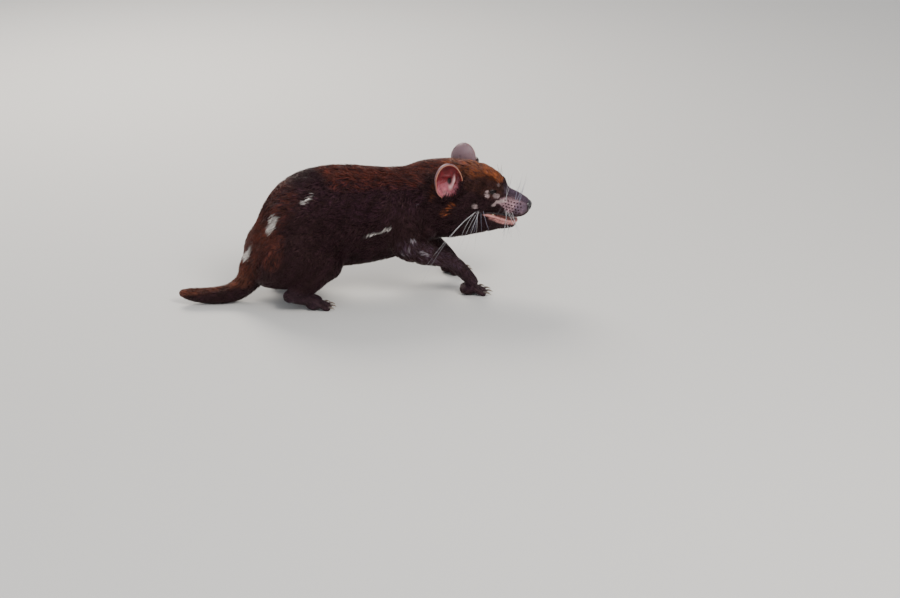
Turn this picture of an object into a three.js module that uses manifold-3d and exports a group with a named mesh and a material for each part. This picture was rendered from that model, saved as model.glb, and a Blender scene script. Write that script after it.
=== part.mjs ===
// A Tasmanian devil as a still, life-size model: crouched on its haunches, forelegs braced forward and
// the head held low with the jaws a little apart, as when it tugs at something.
// Millimetres, +Z up, floor at z = 0. The animal faces +X, so its right side lies towards -Y.
// Flesh is a set of smooth sweeps along curves, each meshed by itself and parted from the next by a
// thin gap.
import * as THREE from 'three';
import { mergeVertices } from 'three/addons/utils/BufferGeometryUtils.js';
import Module from 'manifold-3d';

const wasm = await Module();
wasm.setup();

// Driving sizes
const GAP = 0.3;
const RIGHT = -1;
const LEFT = 1;
const SIDES = [[RIGHT, 'right'], [LEFT, 'left']];

// Edge of the meshing grid; the head's is finer towards the nose, and finer across than along.
const CELL = { trunk: 22, head: [[17, 7], 9.4, 9.4] };

// Stations of a sweep are [x, y, z, radius, width as a share of height].
const SPINE = [
  [-186, 0, 94, 46, 0.88],
  [-158, 0, 124, 64, 0.84],
  [-122, 0, 156, 86, 0.8],
  [-84, 0, 172, 107, 0.74],
  [-36, 0, 174, 111, 0.69],
  [35, 0, 171, 104, 0.68],
  [95, 0, 175, 95, 0.72],
  [150, -4, 187, 79, 0.78],
  [190, -11, 191, 74, 0.8],
];
const TAIL = [
  [-194, 0, 104, 38, 1],
  [-213, 0, 74, 36, 1],
  [-231, 0, 43, 26, 1],
  [-266, 3, 21, 21, 1],
  [-314, 8, 18.5, 18, 1],
  [-350, 14, 22, 14, 1],
  [-362, 17, 24, 10, 1],
];
const TAIL_CUTS = [[[-254, 0, 30], [-1, 0, -0.45]], [[-310, 7, 17], [-1, 0.15, 0]]];

// Limbs are given for the left side, y outward from the midline.
const FORELEG = [
  [84, 50, 184, 47, 0.62],
  [94, 57, 143, 42, 0.7],
  [106, 63, 106, 30, 0.88],
  [150, 66, 90, 21, 0.95],
  [191, 68, 76, 16.5, 1],
  [214, 68, 54, 15.5, 1.12],
  [236, 69, 28, 13, 1.35],
];
const ELBOW_CUT = [[120, 0, 96], [1, 0, -0.3]];
const WRIST_CUT = [[196, 0, 74], [0.75, 0, -0.65]];
const THIGH = [
  [-178, 36, 84, 48, 0.78],
  [-150, 46, 104, 66, 0.6],
  [-114, 56, 104, 62, 0.6],
  [-76, 68, 92, 38, 0.78],
];
const SHANK = [
  [-84, 70, 84, 30, 0.85],
  [-112, 74, 56, 24, 0.9],
  [-146, 76, 38, 17, 1],
];
const HINDFOOT = [
  [-154, 77, 33, 15, 1],
  [-128, 77, 26, 13.5, 1.15],
  [-98, 76, 18, 12, 1.4],
];
// Where thigh and upper arm part from the trunk: an ellipsoid's centre, its half axes and its tilt
const THIGH_ROOT = { at: [-126, 96, 104], size: [92, 68, 80], tilt: 0.3 };
const ARM_ROOT = { at: [98, 86, 142], size: [48, 58, 80], tilt: -0.3 };
// The far legs stand a little behind the near ones.
const LEFT_LEG_BACK = 8;

// Toes: root of the middle of the row, how far apart and splayed they are, how long and how thick.
// The outer ones start further back and are shorter, by these lengths times their place squared.
const TOES = { count: 4, back: 1.6, shorter: 1.5 };
const FORE_TOES = { root: [236, 69, 15], spread: 10, splay: 11, length: 27, radius: 6.4, claw: 14 };
const HIND_TOES = { root: [-98, 76, 14], spread: 9.6, splay: 8, length: 26, radius: 6.2, claw: 12 };
const THUMB = { from: [-16, -15], angle: -42, share: 0.72 };
const PALM = { at: [226, 69, 11], size: [18, 18, 12] };
const SOLE = { at: [-104, 76, 10], size: [19, 17, 11] };
// A claw's thickness, droop and width, as shares of its length or of its height
const CLAW = { thick: 0.23, droop: 0.3, width: 0.7 };

// The head's own frame: origin between the ears, x towards the nose, z towards the crown
const headFrame = new THREE.Object3D();
headFrame.position.set(207, -12, 236);
headFrame.rotation.order = 'ZYX';
headFrame.rotation.set(0.1, 0.3, -0.36);
headFrame.updateMatrixWorld(true);

const SKULL = [
  [-40, 0, -24, 50, 1.05],
  [0, 0, -10, 54, 1.08],
  [42, 0, 2, 50, 1.12],
  [78, 0, 1, 39, 1.06],
  [106, 0, -5, 30, 0.98],
  [134, 0, -5, 26, 0.94],
  [153, 0, -4.5, 21, 0.94],
];
const JAW = [
  [-10, 0, -56, 58, 0.92],
  [35, 0, -65, 47, 0.96],
  [75, 0, -63, 34, 1.02],
  [112, 0, -54, 22, 1.12],
  [143, 0, -47, 13.5, 1.45],
];
const CHEEK = { at: [30, 42, -22], size: [46, 20, 38] };
const MUZZLE_PAD = { at: [139, 14, -12], size: [25, 14, 15] };
const BROW = { at: [84, 24, 27], size: [22, 10, 8] };
const CROWN = { at: [58, 0, 24], size: [46, 34, 24] };
const EYE = { at: [85.5, 31, 19.5], radius: 7.5, lid: 1.5, slit: [6.6, 4.4], lift: -0.16, turn: 1.02 };
const EAR = { height: 76, width: 58, depth: 38, wall: 3, out: 66, lean: 10, back: 10, rim: 5, slant: 0.12 };
const EAR_FOLD = { at: [-5, -13, 34], size: [8, 5, 16] };
const EAR_FOOT = { right: [3, 70, -15], left: [18, 62, -13] };
// The cup's hollow, set in from the ear's outer shape and raised in it
const EAR_CUP = { in: 4.5, up: 1 };
// A box larger than any ear, which takes off all that lies ahead of the rim
const EAR_FACE = [80, 120, 160];
// The hollow in the side of the head that an ear opens from, as half sizes about the ear's middle
const EAR_HOLLOW = { size: [34, 27, 35], out: 20 };
const NOSE = { at: [163.4, 0, 0], size: [10.5, 12.5, 11.5] };
const NOSTRIL = { at: [170.9, 6.2, 0], size: [5.2, 2.6, 2.9] };
const MOUTH = { corner: [80, -40], rise: 0.21, drop: 0, lip: 2.1, sunk: 0.6, cheek: [54, -76], throat: 40 };
const TONGUE = { at: [113, 0, -40], size: [35, 12, 6] };
const TEETH = { inset: 4, rooted: 3.2, behind: 2, reach: 84, canine: [3.3, 15], cheek: [3, 8], incisor: [1.6, 6] };

// How wide the soft fillet is where two forms of flesh meet
const SOFT = { face: 12, jaw: 14, cheek: 20, leg: 26, neck: 34 };

// Fields: negative inside, in millimetres near the surface

function sweep(stations, spans = 5) {
  const path = new THREE.CatmullRomCurve3(stations.map(([x, y, z]) => new THREE.Vector3(x, y, z)));
  const girth = new THREE.CatmullRomCurve3(stations.map(([, , , r, w]) => new THREE.Vector3(r, w, 0)));
  const steps = (stations.length - 1) * spans;
  const at = Array.from({ length: steps + 1 }, (_, i) => path.getPoint(i / steps));
  const size = Array.from({ length: steps + 1 }, (_, i) => girth.getPoint(i / steps));
  return (x, y, z) => {
    let nearest = Infinity;
    for (let i = 0; i < steps; i++) {
      const a = at[i];
      const b = at[i + 1];
      const width = size[i].y;
      const [ex, ey, ez] = [b.x - a.x, (b.y - a.y) / width, b.z - a.z];
      const [px, py, pz] = [x - a.x, (y - a.y) / width, z - a.z];
      const t = Math.min(1, Math.max(0, (px * ex + py * ey + pz * ez) / (ex * ex + ey * ey + ez * ez)));
      const wide = width / (size[i].y + t * (size[i + 1].y - size[i].y));
      const away = Math.hypot(px - t * ex, (py - t * ey) * wide, pz - t * ez);
      nearest = Math.min(nearest, away - size[i].x - t * (size[i + 1].x - size[i].x));
    }
    return nearest;
  };
}

function ellipsoid([cx, cy, cz], [rx, ry, rz]) {
  return (x, y, z) => {
    const [u, v, w] = [(x - cx) / rx, (y - cy) / ry, (z - cz) / rz];
    const k = Math.hypot(u, v, w);
    return k < 1e-6 ? -Math.min(rx, ry, rz) : (k * (k - 1)) / Math.hypot(u / rx, v / ry, w / rz);
  };
}

function blend(soft, ...fields) {
  return (x, y, z) => {
    let d = fields[0](x, y, z);
    for (const field of fields.slice(1)) {
      const e = field(x, y, z);
      const near = Math.max(soft - Math.abs(d - e), 0) / soft;
      d = Math.min(d, e) - (near * near * soft) / 4;
    }
    return d;
  };
}

function inFrame(frame, field) {
  const [a, b, c, , d, e, f, , g, h, i, , j, k, l] = frame.matrixWorld.clone().invert().elements;
  return (x, y, z) => field(
    a * x + d * y + g * z + j,
    b * x + e * y + h * z + k,
    c * x + f * y + i * z + l,
  );
}

// Grid lines from low to high, with a step of one size or one that changes evenly along the way
function ruler(low, high, step) {
  const [from, to] = [step].flat().length === 2 ? step : [step, step];
  const lines = [low - from];
  let at = low;
  while (lines.at(-1) < high) {
    lines.push(at);
    at += from + ((to - from) * (at - low)) / (high - low);
  }
  return [...lines, lines.at(-1) + to];
}

// A field's zero surface as a closed mesh: one vertex in each grid cell that the surface crosses,
// drawn onto the surface, and one quad across each grid edge that it cuts.
function surfaceOf(field, [low, high], cell) {
  const lines = [0, 1, 2].map((k) => ruler(low[k], high[k], Array.isArray(cell) ? cell[k] : cell));
  const n = lines.map((l) => l.length);
  const place = (k, i) => {
    const whole = Math.floor(i);
    return lines[k][whole] + (i - whole) * ((lines[k][whole + 1] ?? 0) - lines[k][whole]);
  };
  const index = (i, j, k) => (k * n[1] + j) * n[0] + i;
  const value = new Float32Array(n[0] * n[1] * n[2]).fill(10);
  for (let k = 1; k < n[2] - 1; k++)
    for (let j = 1; j < n[1] - 1; j++)
      for (let i = 1; i < n[0] - 1; i++)
        value[index(i, j, k)] = field(lines[0][i], lines[1][j], lines[2][k]) || 1e-6;

  const corners = [0, 1, 2, 3, 4, 5, 6, 7].map((c) => [c & 1, (c >> 1) & 1, c >> 2]);
  const edges = [];
  for (let c = 0; c < 8; c++) for (const bit of [1, 2, 4]) if (!(c & bit)) edges.push([c, c | bit]);

  const vertexAt = new Map();
  const points = [];
  for (let k = 0; k < n[2] - 1; k++)
    for (let j = 0; j < n[1] - 1; j++)
      for (let i = 0; i < n[0] - 1; i++) {
        const v = corners.map(([x, y, z]) => value[index(i + x, j + y, k + z)]);
        const inside = v.filter((d) => d < 0).length;
        if (inside === 0 || inside === 8) continue;
        const sum = [0, 0, 0];
        let crossings = 0;
        for (const [p, q] of edges) {
          if (v[p] < 0 === v[q] < 0) continue;
          const t = v[p] / (v[p] - v[q]);
          for (let a = 0; a < 3; a++) sum[a] += corners[p][a] + t * (corners[q][a] - corners[p][a]);
          crossings++;
        }
        const here = [i, j, k];
        const at = sum.map((s, a) => place(a, here[a] + s / crossings));
        const inner = here.every((c, a) => c > 0 && c < n[a] - 2);
        const room = Math.min(...here.map((c, a) => lines[a][c + 1] - lines[a][c]));
        vertexAt.set(index(i, j, k), points.length / 3);
        points.push(...(inner ? drawn(field, at, room) : at));
      }

  const faces = [];
  const step = [1, n[0], n[0] * n[1]];
  for (let k = 0; k < n[2] - 1; k++)
    for (let j = 0; j < n[1] - 1; j++)
      for (let i = 0; i < n[0] - 1; i++) {
        const here = index(i, j, k);
        for (let a = 0; a < 3; a++) {
          if (value[here] < 0 === value[here + step[a]] < 0) continue;
          const [p, q] = [step[(a + 1) % 3], step[(a + 2) % 3]];
          const ring = [here, here - p, here - p - q, here - q].map((c) => vertexAt.get(c));
          if (value[here] > 0) ring.reverse();
          const [s, t, u, w] = ring;
          const shortFirst = span(points, s, u) <= span(points, t, w);
          faces.push(...(shortFirst ? [s, t, u, s, u, w] : [s, t, w, t, u, w]));
        }
      }
  return new THREE.BufferGeometry()
    .setAttribute('position', new THREE.Float32BufferAttribute(points, 3))
    .setIndex(faces);
}

function span(points, a, b) {
  return Math.hypot(...[0, 1, 2].map((k) => points[3 * a + k] - points[3 * b + k]));
}

// Moves a point along the field's slope onto its zero surface, by at most this share of a cell.
const MOST_DRAWN = 0.45;
function drawn(field, start, cell) {
  const eps = 0.2;
  let at = start;
  for (let turn = 0; turn < 3; turn++) {
    const [x, y, z] = at;
    const d = field(x, y, z);
    const slope = [
      field(x + eps, y, z) - field(x - eps, y, z),
      field(x, y + eps, z) - field(x, y - eps, z),
      field(x, y, z + eps) - field(x, y, z - eps),
    ].map((s) => s / (2 * eps));
    const steep = slope.reduce((s, g) => s + g * g, 0) || 1;
    at = at.map((c, a) => c - (d * slope[a]) / steep);
  }
  const moved = Math.hypot(...at.map((c, a) => c - start[a]));
  const share = Math.min(1, (MOST_DRAWN * cell) / (moved || 1));
  return start.map((c, a) => c + share * (at[a] - c));
}

// A closed tube round a path through the stations, with a rounded end past the first and the last
function tube(stations, rings = 8, around = 10, leans = [1.25, 0.75]) {
  const path = new THREE.CatmullRomCurve3(stations.map(([x, y, z]) => new THREE.Vector3(x, y, z)));
  const girth = new THREE.CatmullRomCurve3(stations.map(([, , , r, w]) => new THREE.Vector3(r, w, 0)));
  const dome = leans.map((lean) => [Math.sin(lean), Math.cos(lean)]);
  const hoops = [
    ...dome.map(([past, share]) => [0, -past, share]),
    ...Array.from({ length: rings + 1 }, (_, i) => [i / rings, 0, 1]),
    ...dome.reverse().map(([past, share]) => [1, past, share]),
  ];
  const points = [];
  const put = (t, past, share, turn) => {
    const ahead = path.getTangent(t);
    const side = new THREE.Vector3(0, 1, 0).projectOnPlane(ahead).normalize();
    const { x: radius, y: width } = girth.getPoint(t);
    const at = path.getPoint(t).addScaledVector(ahead, past * radius);
    at.addScaledVector(side, share * radius * width * Math.cos(turn));
    at.addScaledVector(ahead.cross(side), share * radius * Math.sin(turn));
    points.push(...at.toArray());
  };
  for (const [t, past, share] of hoops)
    for (let j = 0; j < around; j++) put(t, past, share, (2 * Math.PI * j) / around);
  put(0, -1, 0, 0);
  put(1, 1, 0, 0);
  const [first, last] = [hoops.length * around, hoops.length * around + 1];
  const faces = [];
  for (let j = 0; j < around; j++) {
    const next = (j + 1) % around;
    for (let i = 0; i < hoops.length - 1; i++) {
      const [a, b] = [i * around + j, i * around + next];
      faces.push(a, b, b + around, a, b + around, a + around);
    }
    const top = (hoops.length - 1) * around;
    faces.push(first, next, j, last, top + j, top + next);
  }
  return new THREE.BufferGeometry()
    .setAttribute('position', new THREE.Float32BufferAttribute(points, 3))
    .setIndex(faces);
}

// Solids

function bare(geometry) {
  const kept = new THREE.BufferGeometry();
  kept.setAttribute('position', geometry.getAttribute('position').clone());
  if (geometry.index) kept.setIndex(geometry.index.clone());
  return mergeVertices(kept, 1e-3);
}

function solid(geometry) {
  const merged = bare(geometry);
  return new wasm.Manifold(
    new wasm.Mesh({
      numProp: 3,
      vertProperties: new Float32Array(merged.attributes.position.array),
      triVerts: new Uint32Array(merged.index.array),
    }),
  );
}

function geometryOf(made) {
  const { numProp, numVert, vertProperties, triVerts } = made.getMesh();
  const points = new Float32Array(numVert * 3);
  for (let i = 0; i < numVert; i++) {
    const from = i * numProp;
    points.set(vertProperties.subarray(from, from + 3), i * 3);
  }
  return new THREE.BufferGeometry()
    .setAttribute('position', new THREE.BufferAttribute(points, 3))
    .setIndex(new THREE.BufferAttribute(triVerts, 1));
}

// The same surface with each vertex moved out along its normal
function swollen(geometry, by) {
  const merged = bare(geometry);
  merged.computeVertexNormals();
  const { position, normal } = merged.attributes;
  for (let i = 0; i < position.count; i++)
    position.setXYZ(
      i,
      position.getX(i) + by * normal.getX(i),
      position.getY(i) + by * normal.getY(i),
      position.getZ(i) + by * normal.getZ(i),
    );
  return merged;
}

const largest = (made) => made.decompose().sort((a, b) => b.volume() - a.volume())[0];
const joined = (solids) => solids.reduce((all, one) => all.add(one));

// A half space as a large box: all that lies ahead of a point, along a direction
const REACH = 1600;
function ahead(point, direction, by = 0) {
  const box = new THREE.BoxGeometry(REACH, REACH, REACH).translate(REACH / 2 + by, 0, 0);
  const turn = new THREE.Quaternion().setFromUnitVectors(
    new THREE.Vector3(1, 0, 0),
    new THREE.Vector3(...direction).normalize(),
  );
  return solid(box.applyQuaternion(turn).translate(...point));
}

// Parts one solid at planes, from its start to its end, with the gap between neighbours.
function parted(whole, cuts) {
  const pieces = [];
  let rest = whole;
  for (const [point, direction] of cuts) {
    pieces.push(largest(rest.subtract(ahead(point, direction, -GAP / 2))));
    rest = rest.intersect(ahead(point, direction, GAP / 2));
  }
  return [...pieces, largest(rest)];
}

const onFloor = (made) => made.intersect(ahead([0, 0, 0], [0, 0, 1]));
const clearOf = (made, parent) => largest(made.subtract(solid(swollen(parent, GAP))));
// Stations given for the left side, put on either side and a little further back
function onSide(stations, side, back = 0) {
  return stations.map(([x, y, z, ...rest]) => [x - back, side * y, z, ...rest]);
}

const parts = new Map();
const finish = {
  coat: { color: '#221715', roughness: 0.62, metalness: 0 },
  ear: { color: '#9a4a50', roughness: 0.6, metalness: 0 },
  nose: { color: '#1b1517', roughness: 0.35, metalness: 0 },
  eye: { color: '#120c0b', roughness: 0.08, metalness: 0 },
  claw: { color: '#8d7f72', roughness: 0.4, metalness: 0 },
};
const keep = (name, made, slot = 'coat') => parts.set(name, { made, slot });

// Body, neck, head and the roots of the legs share one field, so that each flows into the next.
const paired = ({ at, size }) => [RIGHT, LEFT].map((side) => ellipsoid(onSide([at], side)[0], size));
const braincase = blend(SOFT.cheek, sweep(SKULL), ellipsoid(CROWN.at, CROWN.size), ...paired(CHEEK));
const skull = blend(SOFT.face, braincase, ...paired(MUZZLE_PAD), ...paired(BROW));
const headOnly = blend(SOFT.jaw, skull, sweep(JAW));
const spine = sweep(SPINE);
const legBack = (side) => (side === LEFT ? LEFT_LEG_BACK : 0);
const legRoots = [RIGHT, LEFT].flatMap((side) => [
  sweep(onSide(THIGH, side, legBack(side))),
  sweep(onSide(FORELEG.slice(0, 3), side, legBack(side))),
]);
const trunkField = blend(SOFT.leg, blend(SOFT.neck, spine, inFrame(headFrame, headOnly)), ...legRoots);

const headPoint = (x, y, z) => headFrame.localToWorld(new THREE.Vector3(x, y, z)).toArray();
const toWorld = (geometry) => geometry.applyMatrix4(headFrame.matrixWorld);
const headField = (x, y, z) => trunkField(...headPoint(x, y, z));

const NECK_CUT = [headPoint(-44, 0, -20), [0.95, -0.24, -0.18]];
const CHEST_CUT = [[118, 0, 190], [1, -0.04, 0]];
const LOIN_CUT = [[-34, 0, 180], [1, 0, 0]];

const trunkMesh = surfaceOf(trunkField, [[-256, -112, 30], [232, 112, 305]], CELL.trunk);
const headMesh = toWorld(surfaceOf(headField, [[-80, -82, -130], [176, 82, 66]], CELL.head));

const [rump, chest, neck] = parted(solid(trunkMesh), [LOIN_CUT, CHEST_CUT, NECK_CUT]);
const head = parted(solid(headMesh), [NECK_CUT])[1];
const torso = { rump, chest, neck, head };

// A leg's root: the share of the trunk inside an ellipsoid, taken out of the trunk with a gap round it
function rootOf({ at: [x, y, z], size, tilt }, side) {
  const place = (by) => new THREE.SphereGeometry(1, 14, 10)
    .scale(...size.map((s) => s + by))
    .rotateY(tilt)
    .translate(x - legBack(side), side * y, z);
  makeRoom(solid(place(GAP)), ['rump', 'chest', 'neck']);
  return largest(solid(trunkMesh).intersect(solid(place(0))).subtract(ahead(...NECK_CUT, -GAP / 2)));
}

function makeRoom(clear, names = Object.keys(torso)) {
  for (const name of names) torso[name] = largest(torso[name].subtract(clear));
}

// A claw: a cone bent down round an arc, flattened from side to side
function claw(at, angle, length) {
  const cone = new THREE.ConeGeometry(CLAW.thick * length, length, 5, 2);
  cone.rotateZ(-Math.PI / 2).translate(length / 2, 0, 0);
  const { position } = cone.attributes;
  for (let i = 0; i < position.count; i++) {
    const along = position.getX(i) / length;
    position.setZ(i, position.getZ(i) - CLAW.droop * length * along * along);
    position.setY(i, position.getY(i) * CLAW.width);
  }
  return cone.rotateZ(angle).translate(...at);
}

// One foot: its sole, a pad and its toes, with a claw at the end of each
function foot(name, pieces, toes, side, thumb) {
  const { root: [rx, ry, rz], spread, splay, length, radius, claw: clawLength } = toes;
  const row = Array.from({ length: TOES.count }, (_, i) => {
    const out = i - (TOES.count - 1) / 2;
    return {
      from: [rx - TOES.back * out * out, ry + spread * out],
      turn: splay * out,
      long: length - TOES.shorter * out * out,
    };
  });
  if (thumb) {
    const from = [rx + thumb.from[0], ry + thumb.from[1]];
    row.push({ from, turn: thumb.angle, long: length * thumb.share });
  }
  const solids = [...pieces];
  const claws = [];
  for (const { from: [x, y], turn, long } of row) {
    const angle = THREE.MathUtils.degToRad(side * turn);
    const along = (share, z) => [
      x - legBack(side) + share * long * Math.cos(angle),
      side * y + share * long * Math.sin(angle),
      z,
    ];
    const toe = [
      [...along(-0.15, rz), radius * 0.95, 1],
      [...along(0.3, rz - 0.5), radius * 1.05, 1],
      [...along(0.7, radius + 1.2), radius * 0.92, 1],
      [...along(1, radius * 0.9 - 0.9), radius * 0.9, 1],
    ];
    solids.push(solid(tube(toe, 3, 6, [0.95])));
    claws.push(claw(along(1.12, radius + 0.6), angle, clawLength));
  }
  const made = largest(onFloor(joined(solids)));
  const parent = geometryOf(made);
  claws.forEach((shape, i) => {
    keep(`claw_${name}_${i + 1}`, clearOf(onFloor(solid(shape)), parent), 'claw');
  });
  return made;
}

function ball(at, size, around, along) {
  return new THREE.SphereGeometry(1, around, along).scale(...size).translate(...at);
}

for (const [side, name] of SIDES) {
  const back = legBack(side);
  const [elbow, wrist] = [ELBOW_CUT, WRIST_CUT].map(([[x, y, z], along]) => [[x - back, y, z], along]);

  keep(`upper_arm_${name}`, largest(rootOf(ARM_ROOT, side).subtract(ahead(...elbow, -GAP / 2))));
  const foreMesh = tube(onSide(FORELEG.slice(2), side, back));
  makeRoom(solid(swollen(foreMesh, GAP)).intersect(ahead(...elbow, -GAP)));
  const [, forearm, hand] = parted(solid(foreMesh), [elbow, wrist]);
  keep(`forearm_${name}`, forearm);
  const palm = solid(ball(onSide([PALM.at], side, back)[0], PALM.size, 10, 6));
  keep(`forefoot_${name}`, foot(`fore_${name}`, [hand, palm], FORE_TOES, side, THUMB));

  keep(`thigh_${name}`, rootOf(THIGH_ROOT, side));
  const shankMesh = tube(onSide(SHANK, side, back), 5);
  keep(`shank_${name}`, clearOf(solid(shankMesh), trunkMesh));
  const heel = clearOf(clearOf(solid(tube(onSide(HINDFOOT, side, back), 4)), shankMesh), trunkMesh);
  const sole = solid(ball(onSide([SOLE.at], side, back)[0], SOLE.size, 10, 6));
  keep(`hindfoot_${name}`, foot(`hind_${name}`, [heel, sole], HIND_TOES, side));
}

// Tail, in three lengths, resting on the floor
const tailWhole = clearOf(onFloor(solid(tube(TAIL, 14, 12))), trunkMesh);
const [tailRoot, tailMiddle, tailTip] = parted(tailWhole, TAIL_CUTS);
keep('tail_root', tailRoot);
keep('tail_middle', tailMiddle);
keep('tail_tip', tailTip);

// Mouth: a wedge-shaped gape, with a lip along each edge and teeth inside the lips
const edgeZ = (x, slope) => MOUTH.corner[1] + slope * (x - MOUTH.corner[0]);

// Points round the muzzle from one mouth corner to the other, at a depth under the skin
function muzzleLine(slope, depth, count = 22, reach = 92) {
  return Array.from({ length: count + 1 }, (_, i) => {
    const angle = THREE.MathUtils.degToRad(((2 * i) / count - 1) * reach);
    let [near, far] = [0, 120];
    for (let turn = 0; turn < 30; turn++) {
      const r = (near + far) / 2;
      const x = MOUTH.corner[0] + r * Math.cos(angle);
      if (headOnly(x, r * Math.sin(angle), edgeZ(x, slope)) + depth < 0) near = r;
      else far = r;
    }
    const x = MOUTH.corner[0] + near * Math.cos(angle);
    return new THREE.Vector3(x, near * Math.sin(angle), edgeZ(x, slope));
  });
}

// A slab across the head with this outline in the head's x and z
const SLAB_WIDTH = 240;
function slab(points) {
  const shape = new THREE.Shape(points.map(([x, z]) => new THREE.Vector2(x, z)));
  const made = new THREE.ExtrudeGeometry(shape, { depth: SLAB_WIDTH, bevelEnabled: false });
  return solid(toWorld(made.translate(0, 0, -SLAB_WIDTH / 2).rotateX(Math.PI / 2)));
}

const [cornerX, cornerZ] = MOUTH.corner;
// Well past the nose, and well below the chin
const FRONT_X = 230;
const UNDER_Z = -150;
const gape = slab([
  [cornerX, cornerZ],
  [FRONT_X, edgeZ(FRONT_X, -MOUTH.drop)],
  [FRONT_X, edgeZ(FRONT_X, MOUTH.rise)],
]);
const jawOutline = (grown) => [
  [cornerX - MOUTH.lip - grown, cornerZ + grown],
  [MOUTH.cheek[0] - grown, MOUTH.cheek[1]],
  [MOUTH.throat - grown, UNDER_Z],
  [FRONT_X, UNDER_Z],
  [FRONT_X, cornerZ + grown],
];

function lip(slope) {
  const extrudePath = new THREE.CatmullRomCurve3(muzzleLine(slope, MOUTH.sunk));
  const round = new THREE.Path().absarc(0, 0, MOUTH.lip, 0, 2 * Math.PI);
  const section = new THREE.Shape(round.getPoints(3).slice(0, -1));
  const made = new THREE.ExtrudeGeometry(section, { steps: 18, extrudePath, bevelEnabled: false });
  return solid(toWorld(made));
}

// Which tooth stands at each point of the row, from one corner of the mouth to the other
const TOOTH_ROW = { 2: 'cheek', 3: 'cheek', 4: 'cheek', 6: 'canine', 8: 'incisor', 9: 'incisor' };

function teeth(slope, down) {
  const last = 20;
  const row = muzzleLine(slope, TEETH.inset, last, TEETH.reach);
  return Object.entries(TOOTH_ROW).flatMap(([i, kind]) => [row[i], row[last - i]].map(({ x, y, z }) => {
    const [radius, length] = TEETH[kind];
    const cone = new THREE.ConeGeometry(radius, length, 5).rotateX((down ? -1 : 1) * Math.PI / 2);
    const out = length / 2 - TEETH.rooted;
    return solid(toWorld(cone.translate(x - (down ? 0 : TEETH.behind), y, z + (down ? -out : out))));
  }));
}

let upperHead = torso.head.subtract(slab(jawOutline(GAP))).subtract(gape);
let lowerJaw = torso.head.intersect(slab(jawOutline(0))).subtract(gape);
upperHead = joined([upperHead, lip(MOUTH.rise), ...teeth(MOUTH.rise, true)]);
const tongue = solid(toWorld(ball(TONGUE.at, TONGUE.size, 10, 6)));
lowerJaw = joined([lowerJaw, lip(-MOUTH.drop), tongue, ...teeth(-MOUTH.drop, false)]);

// Nose leather, with its two nostrils
const noseMesh = toWorld(ball(NOSE.at, NOSE.size, 12, 8));
let nose = solid(noseMesh);
for (const side of [RIGHT, LEFT]) {
  const [x, y, z] = NOSTRIL.at;
  nose = nose.subtract(solid(toWorld(ball([x, side * y, z], NOSTRIL.size, 6, 5))));
}
upperHead = upperHead.subtract(solid(swollen(noseMesh, GAP)));

// Eyes in their sockets, each under a lid that leaves an almond-shaped slit
for (const [side, name] of SIDES) {
  const [x, y, z] = EYE.at;
  const socket = new THREE.Object3D();
  socket.position.set(x, side * y, z);
  socket.rotation.order = 'ZYX';
  socket.rotation.set(0, EYE.lift, side * EYE.turn);
  headFrame.add(socket);
  socket.updateMatrixWorld(true);
  const placed = (geometry) => solid(geometry.applyMatrix4(socket.matrixWorld));
  const globe = (by) => placed(new THREE.SphereGeometry(EYE.radius + by, 12, 7));
  const slit = placed(ball([EYE.radius, 0, 0], [EYE.radius, ...EYE.slit], 10, 8));
  upperHead = upperHead.add(globe(EYE.lid)).subtract(slit).subtract(globe(GAP));
  keep(`eye_${name}`, globe(0), 'eye');
}
upperHead = largest(upperHead);
const jawRoom = solid(swollen(geometryOf(upperHead), GAP / 3));
lowerJaw = largest(lowerJaw.subtract(upperHead).subtract(jawRoom));

// Ears: thin rounded cups set in the side of the head, open to the side and a little forward, with a
// curled fold inside the front edge of each
for (const [side, name] of SIDES) {
  const ear = new THREE.Object3D();
  const [footX, footY, footZ] = EAR_FOOT[name];
  const turned = THREE.MathUtils.degToRad;
  ear.position.set(footX, side * footY, footZ);
  ear.rotation.order = 'ZXY';
  ear.rotation.set(-side * turned(EAR.lean), -turned(EAR.back), side * turned(EAR.out));
  headFrame.add(ear);
  ear.updateMatrixWorld(true);
  const placed = (geometry) => solid(geometry.applyMatrix4(ear.matrixWorld));
  const half = [EAR.depth, EAR.width, EAR.height].map((size) => size / 2);
  const middle = [0, 0, EAR.height / 2];
  const bowl = (by) => placed(ball(middle, half.map((h) => h + by), 12, 8));
  const shell = bowl(0);
  const cup = placed(ball([EAR_CUP.in, 0, middle[2] + EAR_CUP.up], half.map((h) => h - EAR.wall), 12, 7));
  const face = new THREE.BoxGeometry(...EAR_FACE).rotateY(EAR.slant);
  const front = placed(face.translate(EAR_FACE[0] / 2 + EAR.rim, 0, middle[2]));
  const fold = placed(ball(onSide([EAR_FOLD.at], side)[0], EAR_FOLD.size, 8, 6)).intersect(shell);
  const hollow = placed(ball([EAR_HOLLOW.out, 0, middle[2]], EAR_HOLLOW.size, 10, 6));
  upperHead = largest(upperHead.subtract(bowl(GAP).add(hollow)));
  keep(`ear_${name}`, largest(shell.subtract(cup).subtract(front).add(fold)), 'ear');
}

for (const name of ['rump', 'chest', 'neck']) keep(name, torso[name]);
keep('head', upperHead);
keep('lower_jaw', lowerJaw);
keep('nose', largest(nose), 'nose');

// Scene graph: every piece is a named mesh, and the group stands on the middle of its own footprint.
const devil = new THREE.Group();
for (const [name, { made, slot }] of parts) {
  const mesh = new THREE.Mesh(geometryOf(made), new THREE.MeshStandardMaterial(finish[slot]));
  mesh.name = name;
  devil.add(mesh);
}
const middle = new THREE.Box3().setFromObject(devil).getCenter(new THREE.Vector3());
devil.position.set(-middle.x, -middle.y, 0);

export default devil;
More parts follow.
